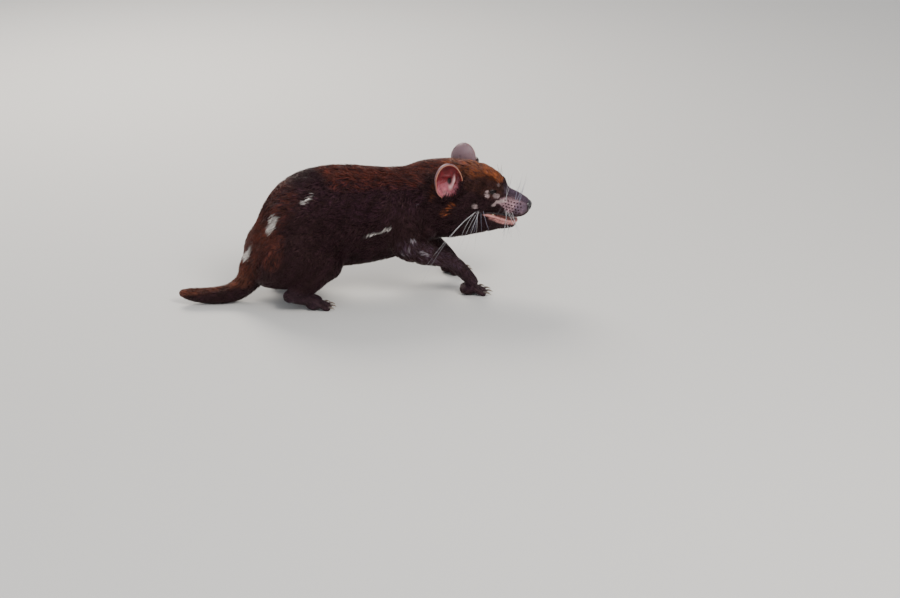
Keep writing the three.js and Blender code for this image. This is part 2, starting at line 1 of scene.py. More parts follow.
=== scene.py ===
# A Tasmanian devil as a still, life-size museum model, crouched and pulling back with its head held low.
# One hide covers the body, with a coat of fine tufts over it; ears, nose, eyes, mouth, claws and
# whiskers are pieces of their own. Metres, +Z up, the animal faces +X and shows its right side (-Y).
from math import cos, pi, radians, sin, sqrt

import bmesh
import bpy
import numpy as np
from mathutils import Euler, Matrix, Vector
from mathutils.bvhtree import BVHTree


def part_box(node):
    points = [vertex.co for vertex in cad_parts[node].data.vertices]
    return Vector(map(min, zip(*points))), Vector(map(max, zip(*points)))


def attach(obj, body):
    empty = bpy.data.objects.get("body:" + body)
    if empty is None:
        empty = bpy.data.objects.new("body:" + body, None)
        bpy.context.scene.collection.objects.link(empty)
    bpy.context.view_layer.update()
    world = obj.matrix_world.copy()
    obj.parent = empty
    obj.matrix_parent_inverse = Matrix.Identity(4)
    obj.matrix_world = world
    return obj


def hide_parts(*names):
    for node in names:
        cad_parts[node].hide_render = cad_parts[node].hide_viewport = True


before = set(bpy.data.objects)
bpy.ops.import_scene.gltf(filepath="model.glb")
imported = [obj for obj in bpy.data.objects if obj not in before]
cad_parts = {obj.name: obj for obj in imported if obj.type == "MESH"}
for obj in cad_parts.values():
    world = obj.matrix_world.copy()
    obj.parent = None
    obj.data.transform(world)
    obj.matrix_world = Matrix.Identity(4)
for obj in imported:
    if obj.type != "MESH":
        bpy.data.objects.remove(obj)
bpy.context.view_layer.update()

# Camera: a long lens on a 36 mm sensor, a little above the animal and ahead of its right side.
# The spot on the floor under the middle of the body falls on one named pixel of the picture.
PICTURE = (900, 598)
BODY_PIXEL = (356.0, 291.7)
BODY_SPOT = Vector((0.00414, 0.0, 0.0))
LENS = 85
SENSOR = 36
DISTANCE = 4.5
SWING = radians(14)
DIP = radians(21.5)
SEEN_TO = 60

camera = bpy.data.objects.new("camera", bpy.data.cameras.new("camera"))
bpy.context.collection.objects.link(camera)
camera.data.lens = LENS
camera.data.sensor_width = SENSOR
camera.data.clip_end = SEEN_TO
camera.rotation_euler = (pi / 2 - DIP, 0, -SWING)
focal = LENS / SENSOR * PICTURE[0]
aim = Vector((
    (BODY_PIXEL[0] - PICTURE[0] / 2) / focal,
    -(BODY_PIXEL[1] - PICTURE[1] / 2) / focal,
    -1,
))
camera.location = BODY_SPOT - DISTANCE * (camera.rotation_euler.to_matrix() @ aim)
bpy.context.scene.camera = camera

# Studio: a plain pale floor that runs out of view, a pale surround, and three soft lamps. The large
# one hangs over the right shoulder, a wide weak one fills the shade and one behind lights the back line.
FLOOR_SIZE = 16
FLOOR_COLOUR = (0.74, 0.73, 0.71)
FLOOR_ROUGH = 0.8
FLOOR_SHINE = 0.2
SURROUND = (0.86, 0.88, 0.92)
SURROUND_STRENGTH = 0.62
# Each lamp's place, size across, power and colour, and the spot above the floor that all are turned to
LAMP_AIM = Vector((0.05, 0, 0.12))
LAMPS = {
    "key": ((0.9, -2.1, 2.3), 1.3, 62, (1.0, 0.96, 0.9)),
    "fill": ((-2.2, -2.4, 1.2), 2.4, 22, (0.88, 0.93, 1.0)),
    "rim": ((-0.4, 2.2, 1.9), 1.4, 70, (1.0, 0.93, 0.84)),
}


def shader_of(material):
    return material.node_tree.nodes["Principled BSDF"]


def plain_finish(name, colour, roughness, specular=0.5):
    """A material whose shader has these constants."""
    material = bpy.data.materials.new(name)
    material.use_nodes = True
    shader = shader_of(material)
    shader.inputs["Base Color"].default_value = (*colour, 1)
    shader.inputs["Roughness"].default_value = roughness
    shader.inputs["Specular IOR Level"].default_value = specular
    return material


def piece_of(name, mesh, *materials):
    """A new object in the scene with this mesh and these materials."""
    piece = bpy.data.objects.new(name, mesh)
    bpy.context.collection.objects.link(piece)
    for material in materials:
        piece.data.materials.append(material)
    return piece


def mesh_from(form, name, smooth=True):
    """Turns a bmesh into a mesh, with its faces shaded smooth or flat."""
    for face in form.faces:
        face.smooth = smooth
    mesh = bpy.data.meshes.new(name)
    form.to_mesh(mesh)
    form.free()
    return mesh


floor_form = bmesh.new()
bmesh.ops.create_grid(floor_form, x_segments=1, y_segments=1, size=FLOOR_SIZE / 2)
floor_finish = plain_finish("studio_floor", FLOOR_COLOUR, FLOOR_ROUGH, FLOOR_SHINE)
floor = piece_of("floor", mesh_from(floor_form, "floor", smooth=False), floor_finish)

surround = bpy.data.worlds.new("surround")
surround.use_nodes = True
surround.node_tree.nodes["Background"].inputs["Color"].default_value = (*SURROUND, 1)
surround.node_tree.nodes["Background"].inputs["Strength"].default_value = SURROUND_STRENGTH
bpy.context.scene.world = surround

for name, (place, size, power, colour) in LAMPS.items():
    lamp = bpy.data.lights.new(name, "AREA")
    lamp.shape = "DISK"
    lamp.size = size
    lamp.energy = power
    lamp.color = colour
    holder = bpy.data.objects.new(name, lamp)
    holder.location = place
    holder.rotation_euler = (LAMP_AIM - Vector(place)).to_track_quat("-Z", "Y").to_euler()
    bpy.context.collection.objects.link(holder)

# Lie of the coat: lines down the middle of the trunk, tail, head and legs, in the order in which the
# hair runs. Each stop is x, y, z and the girth's radius, then how deep the coat is there, how long
# and how wide its tufts are and how far apart they grow, all in millimetres.
HEAD_AT = Vector((0.21114, -0.012, 0.236))
HEAD_TURN = Euler((0.1, 0.3, -0.36), "XYZ")
HEAD_FRAME = Matrix.Translation(HEAD_AT) @ HEAD_TURN.to_matrix().to_4x4()
# The same frame for points in millimetres
HEAD_MM = HEAD_FRAME @ Matrix.Diagonal((0.001, 0.001, 0.001, 1))


def in_row(x, y, z):
    """A place in the head's own frame, in millimetres, as one in the whole animal's, in metres."""
    return HEAD_FRAME @ (Vector((x, y, z)) / 1000)


def head_stop(x, z, *sizes):
    return [*(in_row(x, 0, z) * 1000), *sizes]


def on_side(stops, side):
    return [[x, side * y, z, *sizes] for x, y, z, *sizes in stops]


# The left legs stand this much further back than the right ones.
LEFT_BACK = 8
FORELEG = [
    [90, 50, 176, 46, 7, 17, 2.2, 2.4],
    [98, 57, 143, 42, 6.5, 16, 2.1, 2.4],
    [110, 63, 106, 29, 5.5, 14, 2.0, 2.2],
    [154, 66, 90, 20, 4.5, 11, 1.7, 2.0],
    [195, 68, 76, 16, 3.5, 9, 1.5, 1.9],
    [218, 68, 54, 16, 2.4, 7, 1.3, 1.8],
    [240, 69, 28, 15, 1.4, 4.5, 1.1, 1.8],
    [268, 69, 9, 8, 1.0, 3.5, 1.0, 2.0],
]
HINDLEG = [
    [-84, 70, 80, 30, 5.5, 14, 2.0, 2.2],
    [-108, 74, 56, 24, 4.5, 12, 1.8, 2.1],
    [-142, 76, 38, 17, 3, 8, 1.5, 2.0],
    [-124, 77, 26, 14, 2, 5.5, 1.2, 1.9],
    [-94, 76, 18, 14, 1.3, 4.5, 1.1, 1.9],
    [-66, 76, 9, 8, 1.0, 3.5, 1.0, 2.0],
]
LIE = {
    "trunk": [
        [196, -12, 191, 72, 8, 20, 2.3, 2.4],
        [154, -4, 187, 78, 8, 20, 2.3, 2.4],
        [99, 0, 175, 94, 7.5, 19, 2.3, 2.4],
        [39, 0, 171, 103, 7.5, 18, 2.3, 2.4],
        [-32, 0, 174, 110, 7.5, 18, 2.3, 2.4],
        [-80, 0, 172, 106, 7.5, 19, 2.3, 2.4],
        [-118, 0, 156, 85, 8, 20, 2.3, 2.4],
        [-154, 0, 124, 63, 8, 20, 2.3, 2.4],
        [-182, 0, 94, 45, 8, 20, 2.3, 2.4],
    ],
    "tail": [
        [-190, 0, 104, 37, 8, 20, 2.2, 2.3],
        [-209, 0, 74, 35, 7.5, 20, 2.2, 2.3],
        [-227, 0, 43, 26, 6.5, 20, 2.1, 2.2],
        [-262, 3, 21, 20, 5, 18, 1.9, 2.0],
        [-310, 8, 18, 17, 4.5, 16, 1.8, 1.9],
        [-346, 14, 22, 13, 4, 14, 1.7, 1.8],
        [-360, 17, 24, 9, 3.5, 12, 1.6, 1.7],
    ],
    "head": [
        head_stop(166, -4, 20, 0.6, 2.4, 0.8, 1.5),
        head_stop(150, -11, 26, 0.7, 2.8, 0.8, 1.5),
        head_stop(120, -20, 35, 1.0, 3.8, 0.9, 1.6),
        head_stop(90, -28, 42, 2.0, 6.0, 1.1, 1.6),
        head_stop(50, -32, 60, 3.6, 9.5, 1.5, 1.75),
        head_stop(5, -34, 72, 5.5, 14, 1.9, 2.0),
        head_stop(-40, -30, 72, 7.5, 18, 2.1, 2.25),
    ],
    "foreleg_right": on_side(FORELEG, -1),
    "foreleg_left": on_side([[x - LEFT_BACK, *rest] for x, *rest in FORELEG], 1),
    "hindleg_right": on_side(HINDLEG, -1),
    "hindleg_left": on_side([[x - LEFT_BACK, *rest] for x, *rest in HINDLEG], 1),
}
# Girths are given from above to below; the trunk is this much narrower from side to side.
NARROW = {"trunk": 0.74}
# How sharply one line's lie gives way to the next, and how much the hair droops down the flanks
LIE_SOFT = 0.009
DROOP = 0.22


def along_line(name, points):
    """For each point, the nearest place on a line: how far beyond its girth it is, the line's run there,
    the share along it, the turn round it, and the coat's sizes."""
    stops = np.array(LIE[name], float) / 1000
    narrow = np.array([1, NARROW.get(name, 1), 1])
    beyond = np.full(len(points), 1e9)
    run = np.zeros((len(points), 3))
    share = np.zeros(len(points))
    turn = np.zeros(len(points))
    sizes = np.zeros((len(points), stops.shape[1] - 4))
    for i, (a, b) in enumerate(zip(stops[:-1], stops[1:])):
        step = b[:3] - a[:3]
        t = np.clip((points - a[:3]) @ step / (step @ step), 0, 1)[:, None]
        here = a + t * (b - a)
        away = (points - here[:, :3]) / narrow
        out = np.linalg.norm(away, axis=1) - here[:, 3]
        nearer = out < beyond
        beyond[nearer] = out[nearer]
        run[nearer] = step / np.linalg.norm(step)
        share[nearer] = (i + t[nearer, 0]) / (len(stops) - 1)
        round_about = np.cross(step / np.linalg.norm(step), (0, 1, 0))
        turn[nearer] = np.arctan2(away[nearer, 1], away[nearer] @ round_about)
        sizes[nearer] = here[nearer, 4:]
    return beyond, run, share, turn, sizes


def lie_at(points):
    """Each point's hair direction, the line it belongs to, its share and turn on that, and its sizes."""
    rows = [along_line(name, points) for name in LIE]
    beyond = np.array([row[0] for row in rows])
    weight = np.exp(-(beyond - beyond.min(axis=0)) / LIE_SOFT)
    weight /= weight.sum(axis=0)
    run = sum(w[:, None] * row[1] for w, row in zip(weight, rows))
    run[:, 2] -= DROOP
    sizes = sum(w[:, None] * row[4] for w, row in zip(weight, rows))
    line = beyond.argmin(axis=0)
    share, turn = (np.choose(line, [row[k] for row in rows]) for k in (2, 3))
    return run, line, share, turn, sizes


# Hide: the skin of the whole animal in one surface, from the nose to the tip of the tail. It lies under
# the coat by the coat's depth, and it carries the same markings as the hair that grows from it.
SIDES = {"right": -1, "left": 1}
LIMBS = ["upper_arm", "forearm", "forefoot", "thigh", "shank", "hindfoot"]
FLESH = ["rump", "chest", "neck", "head", "lower_jaw", "tail_root", "tail_middle", "tail_tip"]
FLESH += [f"{limb}_{side}" for limb in LIMBS for side in SIDES]
SWELL = 0.0004
SEAM = 2e-6
# Place on the left side and half sizes of the forms that fill the shoulder and the elbow
PADDING = [
    ((0.114, 0.064, 0.112), (0.034, 0.024, 0.029)),
    ((0.130, 0.066, 0.102), (0.030, 0.0225, 0.0225)),
    ((0.142, 0.046, 0.146), (0.030, 0.024, 0.028)),
]
PADDING_FACETS = 4
GRAIN = 0.0018
KEPT_FACES = 0.48
# Facets are rounded out where the coat is deep, and only a little on face and feet.
COARSE = 0.007
FINE = 0.001
LEAST_ROUNDED = 0.12
ROUNDING_TURNS = 60
LAST_TURNS = 6
HIDE_CLEAR = 0.0004
# How far a turn draws each point in, and then out again a little further
PULLS = (0.5, -0.52)


def stored(items, key, width, kind=float):
    """One row of values for each vertex, edge, face or corner of a mesh."""
    values = np.empty(len(items) * width, kind)
    items.foreach_get(key, values)
    return values.reshape(-1, width)


def points_of(mesh):
    return stored(mesh.vertices, "co", 3)


def relaxed(points, edges, amount, turns):
    """Smooths a net of points, each by its own amount, and swells it back so that it keeps its girth."""
    links = np.bincount(edges.ravel(), minlength=len(points))[:, None]
    amount = np.reshape(amount, (-1, 1))
    for _ in range(turns):
        for pull in PULLS:
            total = np.zeros_like(points)
            for axis in range(3):
                total[:, axis] = np.bincount(edges[:, 0], points[edges[:, 1], axis], len(points))
                total[:, axis] += np.bincount(edges[:, 1], points[edges[:, 0], axis], len(points))
            points = points + pull * amount * (total / links - points)
    return points


def applied(piece):
    """The piece's mesh with its modifiers in it; the piece itself goes."""
    mesh = bpy.data.meshes.new_from_object(piece.evaluated_get(bpy.context.evaluated_depsgraph_get()))
    bpy.data.objects.remove(piece)
    return mesh


flesh_form = bmesh.new()
for name in FLESH:
    flesh_form.from_mesh(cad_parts[name].data)
bmesh.ops.remove_doubles(flesh_form, verts=flesh_form.verts, dist=SEAM)
flesh_form.normal_update()
for vert in flesh_form.verts:
    vert.co += SWELL * vert.normal
# Round the step where the upper arm meets the forearm, and the pit between the neck and the shoulder
for side, back in ((-1, 0), (1, LEFT_BACK / 1000)):
    for (x, y, z), half in PADDING:
        grown = Matrix.Translation((x - back, side * y, z)) @ Matrix.Diagonal((*half, 1))
        bmesh.ops.create_icosphere(flesh_form, subdivisions=PADDING_FACETS, radius=1, matrix=grown)
blank = piece_of("hide_blank", mesh_from(flesh_form, "hide_blank"))
remesh = blank.modifiers.new("remesh", "REMESH")
remesh.mode = "VOXEL"
remesh.voxel_size = GRAIN
thinner = blank.modifiers.new("thinner", "DECIMATE")
thinner.ratio = KEPT_FACES
blank.modifiers.new("triangles", "TRIANGULATE")
hide_mesh = applied(blank)

hide_points = points_of(hide_mesh)
hide_edges = stored(hide_mesh.edges, "vertices", 2, np.int32)
coat_deep = lie_at(hide_points)[-1][:, 0]
rounding = np.clip((coat_deep - FINE) / (COARSE - FINE), LEAST_ROUNDED, 1)
hide_points = relaxed(hide_points, hide_edges, rounding, ROUNDING_TURNS)
hide_mesh.vertices.foreach_set("co", hide_points.ravel())
hide_mesh.update()
hide_points -= stored(hide_mesh.vertices, "normal", 3) * coat_deep[:, None]
hide_points[:, 2] = np.maximum(hide_points[:, 2], HIDE_CLEAR)
hide_points = relaxed(hide_points, hide_edges, rounding, LAST_TURNS)
hide_mesh.vertices.foreach_set("co", hide_points.ravel())
hide_mesh.update()

# Markings: a brown-black coat with painted sheen laid over it: red-brown along the back, rump and tail,
# plum over the hips, a lilac shine down the right foreleg, orange-brown streaks on the crown and round
# the ears, and mauve highlights on the crown. Its own markings are a few small white patches and old
# scars, and bare pink on the muzzle and lower lip. A marking runs from one place to another and has half
# sizes across, in millimetres, then its colour, how fully it covers, and the share of hairs that stay
# dark in it.
BLACK_BROWN = (0.0155, 0.0058, 0.0094)
# Painted sheen: plum over the hips and upper flanks
PLUM_SHEEN = (0.034, 0.013, 0.024)
# Painted sheen: red-brown where light falls along the top of the back
RED_SHEEN = (0.150, 0.036, 0.022)
# Brown-red hair with a painted sheen on it, over the rump and on top of the tail
RUMP_BROWN_SHEEN = (0.130, 0.036, 0.022)
TAIL_BROWN_SHEEN = (0.140, 0.046, 0.027)
TAIL_DARK = (0.016, 0.008, 0.009)
WHITE = (0.72, 0.68, 0.64)
SCAR = (0.46, 0.42, 0.46)
ARM_SHINE = (0.085, 0.055, 0.085)
# Painted sheen streaks in orange-brown on the crown, brow and round the ears
ORANGE_SHEEN = (0.31, 0.088, 0.028)
# Painted highlights in mauve on the top of the crown
MAUVE_HIGHLIGHT = (0.26, 0.15, 0.17)
FACE_BROWN = (0.045, 0.017, 0.012)
LILAC = (0.50, 0.31, 0.35)
PALE = (0.54, 0.41, 0.41)
MUZZLE_TOP = (0.085, 0.058, 0.090)
MUZZLE_BLUE = (0.085, 0.070, 0.120)
FOOT_BLACK = (0.026, 0.014, 0.022)
LIP_PINK = (0.66, 0.31, 0.29)
MOUTH_BROWN = (0.22, 0.075, 0.035)
# The bare hide is this much darker than the hair on it.
HIDE_TONE = 0.8
# How far the edges of a marking wander, in waves of what length, and how softly they end
RAGGED = 0.0011
RAGGED_WAVE = 0.009
MARK_SIZE = 1.12
MARK_SOFT = 0.4
BODY_MARKINGS = [
    # Painted sheen in plum over the hips and upper flanks, on both sides
    ((-140, -44, 236), (90, -62, 214), (60, 34, 44), PLUM_SHEEN, 0.7, 0.45),
    ((-140, 44, 236), (90, 62, 214), (60, 34, 44), PLUM_SHEEN, 0.7, 0.45),
    # Painted sheen in red-brown along the top of the back and down its right side
    ((-40, 0, 282), (176, -10, 280), (40, 44, 30), RED_SHEEN, 0.8, 0.35),
    ((-40, -40, 266), (120, -44, 262), (26, 24, 28), RED_SHEEN, 0.55, 0.45),
    # Brown-red painted sheen over the rump
    ((-190, 0, 168), (-150, 0, 220), (44, 64, 44), RUMP_BROWN_SHEEN, 0.6, 0.4),
    ((-212, 0, 92), (-196, 0, 150), (40, 56, 36), RUMP_BROWN_SHEEN, 0.85, 0.25),
    ((-178, -52, 110), (-178, -52, 140), (26, 30, 30), RUMP_BROWN_SHEEN, 0.6, 0.4),
    ((-178, 52, 110), (-178, 52, 140), (26, 30, 30), RUMP_BROWN_SHEEN, 0.6, 0.4),
    # Brown-red painted sheen on top of the tail
    ((-360, 16, 40), (-240, 2, 56), (30, 34, 22), TAIL_BROWN_SHEEN, 0.95, 0.15),
    ((-350, 14, 2), (-250, 2, 4), (30, 34, 11), TAIL_DARK, 0.9, 0),
    ((-184, -46, 170), (-173, -44, 192), (9, 14, 10), WHITE, 1, 0),
    ((-171, -37, 213), (-167, -37, 220), (5, 10, 5), WHITE, 1, 0),
    ((-141, -59, 213), (-139, -59, 214), (5, 8, 4), WHITE, 0.8, 0.2),
    ((-113, -62, 226), (-95, -59, 240), (4, 10, 4), WHITE, 1, 0),
    ((-229, -8, 100), (-222, -12, 120), (10, 16, 8), WHITE, 1, 0),
    ((-108, -25, 269), (-101, -25, 272), (6, 9, 6), WHITE, 0.9, 0.1),
    ((10, -72, 147), (34, -74, 151), (5, 12, 4.5), WHITE, 1, 0),
    ((34, -74, 151), (60, -78, 160), (4, 12, 3.5), WHITE, 1, 0),
    ((106, -87, 134), (112, -87, 131), (5, 9, 5), SCAR, 0.9, 0.1),
    ((100, -88, 115), (104, -88, 112), (5, 8, 5), SCAR, 0.8, 0.2),
    ((124, -86, 109), (138, -87, 101), (5, 9, 4), SCAR, 0.7, 0.3),
    ((90, -83, 105), (98, -84, 104), (4, 9, 4), SCAR, 0.7, 0.3),
    ((96, -80, 120), (206, -84, 74), (22, 22, 16), ARM_SHINE, 0.7, 0.55),
    ((120, -57, 235), (123, -57, 233), (4, 8, 4), SCAR, 0.6, 0.3),
    ((121, -70, 208), (124, -70, 206), (4, 8, 4), SCAR, 0.5, 0.3),
    ((-150, 52, 196), (-158, 50, 186), (7, 12, 7), WHITE, 0.9, 0.05),
    ((30, 74, 150), (44, 75, 154), (5, 10, 5), WHITE, 0.9, 0.05),
    ((220, -69, 40), (262, -69, 8), (30, 30, 22), FOOT_BLACK, 1, 0),
    ((212, 69, 40), (254, 69, 8), (30, 30, 22), FOOT_BLACK, 1, 0),
    ((-144, -75, 30), (-72, -76, 8), (22, 30, 20), FOOT_BLACK, 1, 0),
    ((-152, 75, 30), (-80, 76, 8), (22, 30, 20), FOOT_BLACK, 1, 0),
]
# On the head, in the head's own frame and for its right side; the left side has the same.
HEAD_MARKINGS = [
    ((20, -40, 30), (84, -32, 24), (30, 22, 24), FACE_BROWN, 0.85, 0.2),
    # Painted orange-brown sheen streaks and painted mauve highlights on the crown, brow and round the ear
    ((-14, -6, 48), (70, -5, 54), (26, 34, 20), ORANGE_SHEEN, 0.8, 0.5),
    ((-66, -20, 44), (-6, -12, 58), (34, 30, 20), MAUVE_HIGHLIGHT, 0.7, 0.6),
    ((30, -24, 56), (70, -14, 56), (20, 20, 12), MAUVE_HIGHLIGHT, 0.6, 0.85),
    ((60, -10, 52), (92, -10, 42), (10, 14, 10), ORANGE_SHEEN, 0.85, 0.35),
    ((-26, -46, 40), (40, -40, 42), (14, 14, 9), ORANGE_SHEEN, 0.7, 0.4),
    ((-34, -60, 14), (-30, -66, -16), (7, 14, 14), ORANGE_SHEEN, 0.35, 0.5),
    ((4, -74, -46), (16, -72, -24), (7, 14, 9), ORANGE_SHEEN, 0.85, 0.5),
    ((75, -44, 16), (79, -42, 11), (5, 8, 6), PALE, 0.9, 0.05),
    ((94, -36, 12), (101, -33, 12), (5, 8, 6), PALE, 0.85, 0.05),
    ((94, -28, 36), (97, -27, 38), (3.5, 7, 4), PALE, 0.8, 0.1),
    ((118, -26, -4), (152, -12, -4), (14, 15, 17), LILAC, 0.95, 0.1),
    ((146, -16, -6), (156, -10, -4), (12, 16, 16), MUZZLE_BLUE, 0.8, 0.1),
    ((104, -8, 22), (156, -2, 14), (14, 15, 10), MUZZLE_TOP, 0.9, 0.1),
    ((106, -30, -12), (118, -28, -20), (8, 12, 8), BLACK_BROWN, 1, 0),
    ((97, -34, -11), (102, -34, -1), (3.4, 9, 3.6), PALE, 1, 0),
    ((102, -34, -1), (118, -28, 5), (4, 9, 3.4), PALE, 1, 0),
    ((59, -59, -13), (64, -59, -16), (5, 9, 6), PALE, 0.95, 0.05),
    ((80, -30, -30), (158, -8, -25), (14, 18, 5), BLACK_BROWN, 0.9, 0),
    ((92, -10, -40), (140, -2, -40), (18, 14, 5), MOUTH_BROWN, 1, 0),
    ((99, -32, -44), (118, -24, -44), (6, 11, 6), LIP_PINK, 1, 0),
    ((118, -24, -44), (148, -8, -43), (8, 11, 6.5), LIP_PINK, 0.95, 0),
]


MARKINGS = [(start, end, half, np.eye(3), *rest) for start, end, half, *rest in BODY_MARKINGS]
HEAD_AXES = np.array(HEAD_TURN.to_matrix())
for start, end, half, *rest in HEAD_MARKINGS:
    for side in (1, -1):
        ends = [tuple(in_row(x, side * y, z) * 1000) for x, y, z in (start, end)]
        MARKINGS.append((*ends, half, HEAD_AXES, *rest))


def within(points, start, end, half, axes):
    """1 well inside a marking, 0 past its edge."""
    start, end = np.array(start), np.array(end)
    step = end - start
    t = np.clip((points * 1000 - start) @ step / max(step @ step, 1e-9), 0, 1)[:, None]
    away = np.linalg.norm((points * 1000 - start - t * step) @ axes / half, axis=1)
    return np.clip((MARK_SIZE - away) / MARK_SOFT, 0, 1)


def ripple(points, grain, seed, waves=10):
    """Soft noise between about -1 and 1, the same on every run, from waves of about this length."""
    draw = np.random.default_rng(seed)
    total = np.zeros(len(points))
    for _ in range(waves):
        way = draw.normal(size=3)
        total += np.sin(points @ way * (2 * pi / grain / 1.7) + draw.uniform(0, 2 * pi))
    return total / sqrt(waves / 2) / 1.4


def markings_at(points, draw=None):
    """The coat's colour at each point, with ragged edges; with a draw, some hairs stay dark."""
    stray = [ripple(points, RAGGED_WAVE, seed) for seed in (1, 2, 3)]
    ragged = points + RAGGED * np.stack(stray, axis=1)
    colour = np.tile(BLACK_BROWN, (len(points), 1))
    for start, end, half, axes, tint, cover, dark in MARKINGS:
        amount = cover * within(ragged, start, end, half, axes)
        if draw is None:
            amount *= 1 - dark / 2
        else:
            amount *= draw.random(len(points)) > dark
        colour += amount[:, None] * (np.array(tint) - colour)
    return colour


def paint(mesh, colour):
    """Stores a colour for each vertex, as the attribute that the materials read."""
    layer = mesh.attributes.new("marking", "FLOAT_COLOR", "POINT")
    layer.data.foreach_set("color", np.column_stack([colour, np.ones(len(colour))]).ravel())


def marking_on(tree):
    """A node that reads the colour stored on the mesh."""
    marking = tree.nodes.new("ShaderNodeAttribute")
    marking.attribute_name = "marking"
    return marking


def grain_on(material, size, detail, strength, depth):
    """Fine noise all over the piece, which also dents its surface."""
    tree = material.node_tree
    place = tree.nodes.new("ShaderNodeTexCoord")
    grain = tree.nodes.new("ShaderNodeTexNoise")
    grain.inputs["Scale"].default_value = size
    grain.inputs["Detail"].default_value = detail
    raised = tree.nodes.new("ShaderNodeBump")
    raised.inputs["Strength"].default_value = strength
    raised.inputs["Distance"].default_value = depth
    tree.links.new(place.outputs["Object"], grain.inputs["Vector"])
    tree.links.new(grain.outputs["Fac"], raised.inputs["Height"])
    tree.links.new(raised.outputs["Normal"], shader_of(material).inputs["Normal"])
    return grain


HAIR_SHINE = 0.36
HAIR_GRAIN = (420, 3)
HAIR_DENTS = 0.0006
HAIR_GLINT = (1, 0.62, 0.6)
HAIR_SHEEN = (0.8, 0.45, 0.36)


def hair_finish(name, roughness, streak, bump):
    """Coat colour from the markings, broken up by fine streaks, with a soft sheen."""
    material = plain_finish(name, BLACK_BROWN, roughness, HAIR_SHINE)
    tree = material.node_tree
    shader = shader_of(material)
    shader.inputs["Specular Tint"].default_value = (*HAIR_GLINT, 1)
    shader.inputs["Sheen Weight"].default_value = 0.08
    shader.inputs["Sheen Roughness"].default_value = 0.35
    shader.inputs["Sheen Tint"].default_value = (*HAIR_SHEEN, 1)
    marking = marking_on(tree)
    grain = grain_on(material, *HAIR_GRAIN, bump, HAIR_DENTS)
    shade = tree.nodes.new("ShaderNodeMapRange")
    shade.inputs["To Min"].default_value = 1 - streak
    shade.inputs["To Max"].default_value = 1 + streak
    blend = tree.nodes.new("ShaderNodeVectorMath")
    blend.operation = "SCALE"
    tree.links.new(grain.outputs["Fac"], shade.inputs["Value"])
    tree.links.new(marking.outputs["Color"], blend.inputs[0])
    tree.links.new(shade.outputs["Result"], blend.inputs["Scale"])
    tree.links.new(blend.outputs["Vector"], shader.inputs["Base Color"])
    return material


paint(hide_mesh, HIDE_TONE * markings_at(hide_points))
hide_mesh.shade_smooth()
hide = piece_of("hide", hide_mesh, hair_finish("short_hair", roughness=0.6, streak=0.35, bump=0.5))
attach(hide, "root")
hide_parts(*FLESH)

# Coat: tens of thousands of thin, flat, tapered tufts, each rooted in the hide and lying back along it.
# A tuft takes three steps over the hide, at each along the lie of the hair there, so it follows the form.
TUFT_STEPS = 3
TUFT_WIDE = (0.6, 0.82, 0.55)
TUFT_THICK = 0.32
TUFT_LIFT = (-0.12, 0.42, 0.82, 1.0)
# How much tufts differ, as shares of the length, depth and width that the lie gives, and how they stray
TUFT_LONG = (0.7, 1.2)
TUFT_DEEP = (0.55, 1.02)
TUFT_BROAD = (0.75, 1.25)
TUFT_STRAY = 0.16
TUFTS_MOST = 12400
FLOOR_CLEAR = 0.0003
# How far the lie wanders from its lines, in waves of what length, and the waves' seed
WANDERS = ((0.4, 0.035, 7), (0.22, 0.012, 8))
# How much single tufts differ in tone; how much clumps do, in waves of what length, with their seed; and
# the darkest that a tuft may be
TONES = (0.6, 1.4)
CLUMPS = (0.35, 0.014, 31)
DARKEST = 0.35
# The bake's map keeps this clear of its edges, and spreads a tuft's points round a patch of this size.
CHART_EDGE = 0.02
CHART_PATCH = 0.003
CHART_TWIST = 2.4
# The mouth: its corner in the head's frame, how steeply its upper edge rises from there, and the bare
# skin beside both edges and behind the corner
MOUTH_CORNER = (80, -40)
GAPE_RISE = 0.21
GAPE_MIDDLE = GAPE_RISE / 2
GAPE_EDGE = 2.4
GAPE_BACK = 2
# The line that each piece of coat follows, its side (0 for both), its share of the line, and its seed
COATS = {
    "coat_shoulder_right": ("trunk", -1, (0, 0.45), 11),
    "coat_shoulder_left": ("trunk", 1, (0, 0.45), 12),
    "coat_rump_right": ("trunk", -1, (0.45, 1), 13),
    "coat_rump_left": ("trunk", 1, (0.45, 1), 14),
    "coat_tail": ("tail", 0, (0, 1), 15),
    "coat_head_right": ("head", -1, (0, 1), 16),
    "coat_head_left": ("head", 1, (0, 1), 17),
    "coat_foreleg_right": ("foreleg_right", 0, (0, 1), 18),
    "coat_foreleg_left": ("foreleg_left", 0, (0, 1), 19),
    "coat_hindleg_right": ("hindleg_right", 0, (0, 1), 20),
    "coat_hindleg_left": ("hindleg_left", 0, (0, 1), 21),
}

hide_tree = BVHTree.FromPolygons(
    [Vector(point) for point in hide_points],
    [tuple(face.vertices) for face in hide_mesh.polygons],
)
corners = stored(hide_mesh.polygons, "vertices", 3, np.int32)
face_normal = stored(hide_mesh.polygons, "normal", 3)
face_area = stored(hide_mesh.polygons, "area", 1)[:, 0]
face_middle = hide_points[corners].mean(axis=1)
face_run, face_line, face_share, face_turn, face_sizes = lie_at(face_middle)
wander = sum(much * ripple(face_middle, wave, seed) for much, wave, seed in WANDERS)
face_run += wander[:, None] * np.cross(face_normal, face_run)
face_run -= (face_run * face_normal).sum(axis=1)[:, None] * face_normal
face_run /= np.linalg.norm(face_run, axis=1)[:, None] + 1e-9
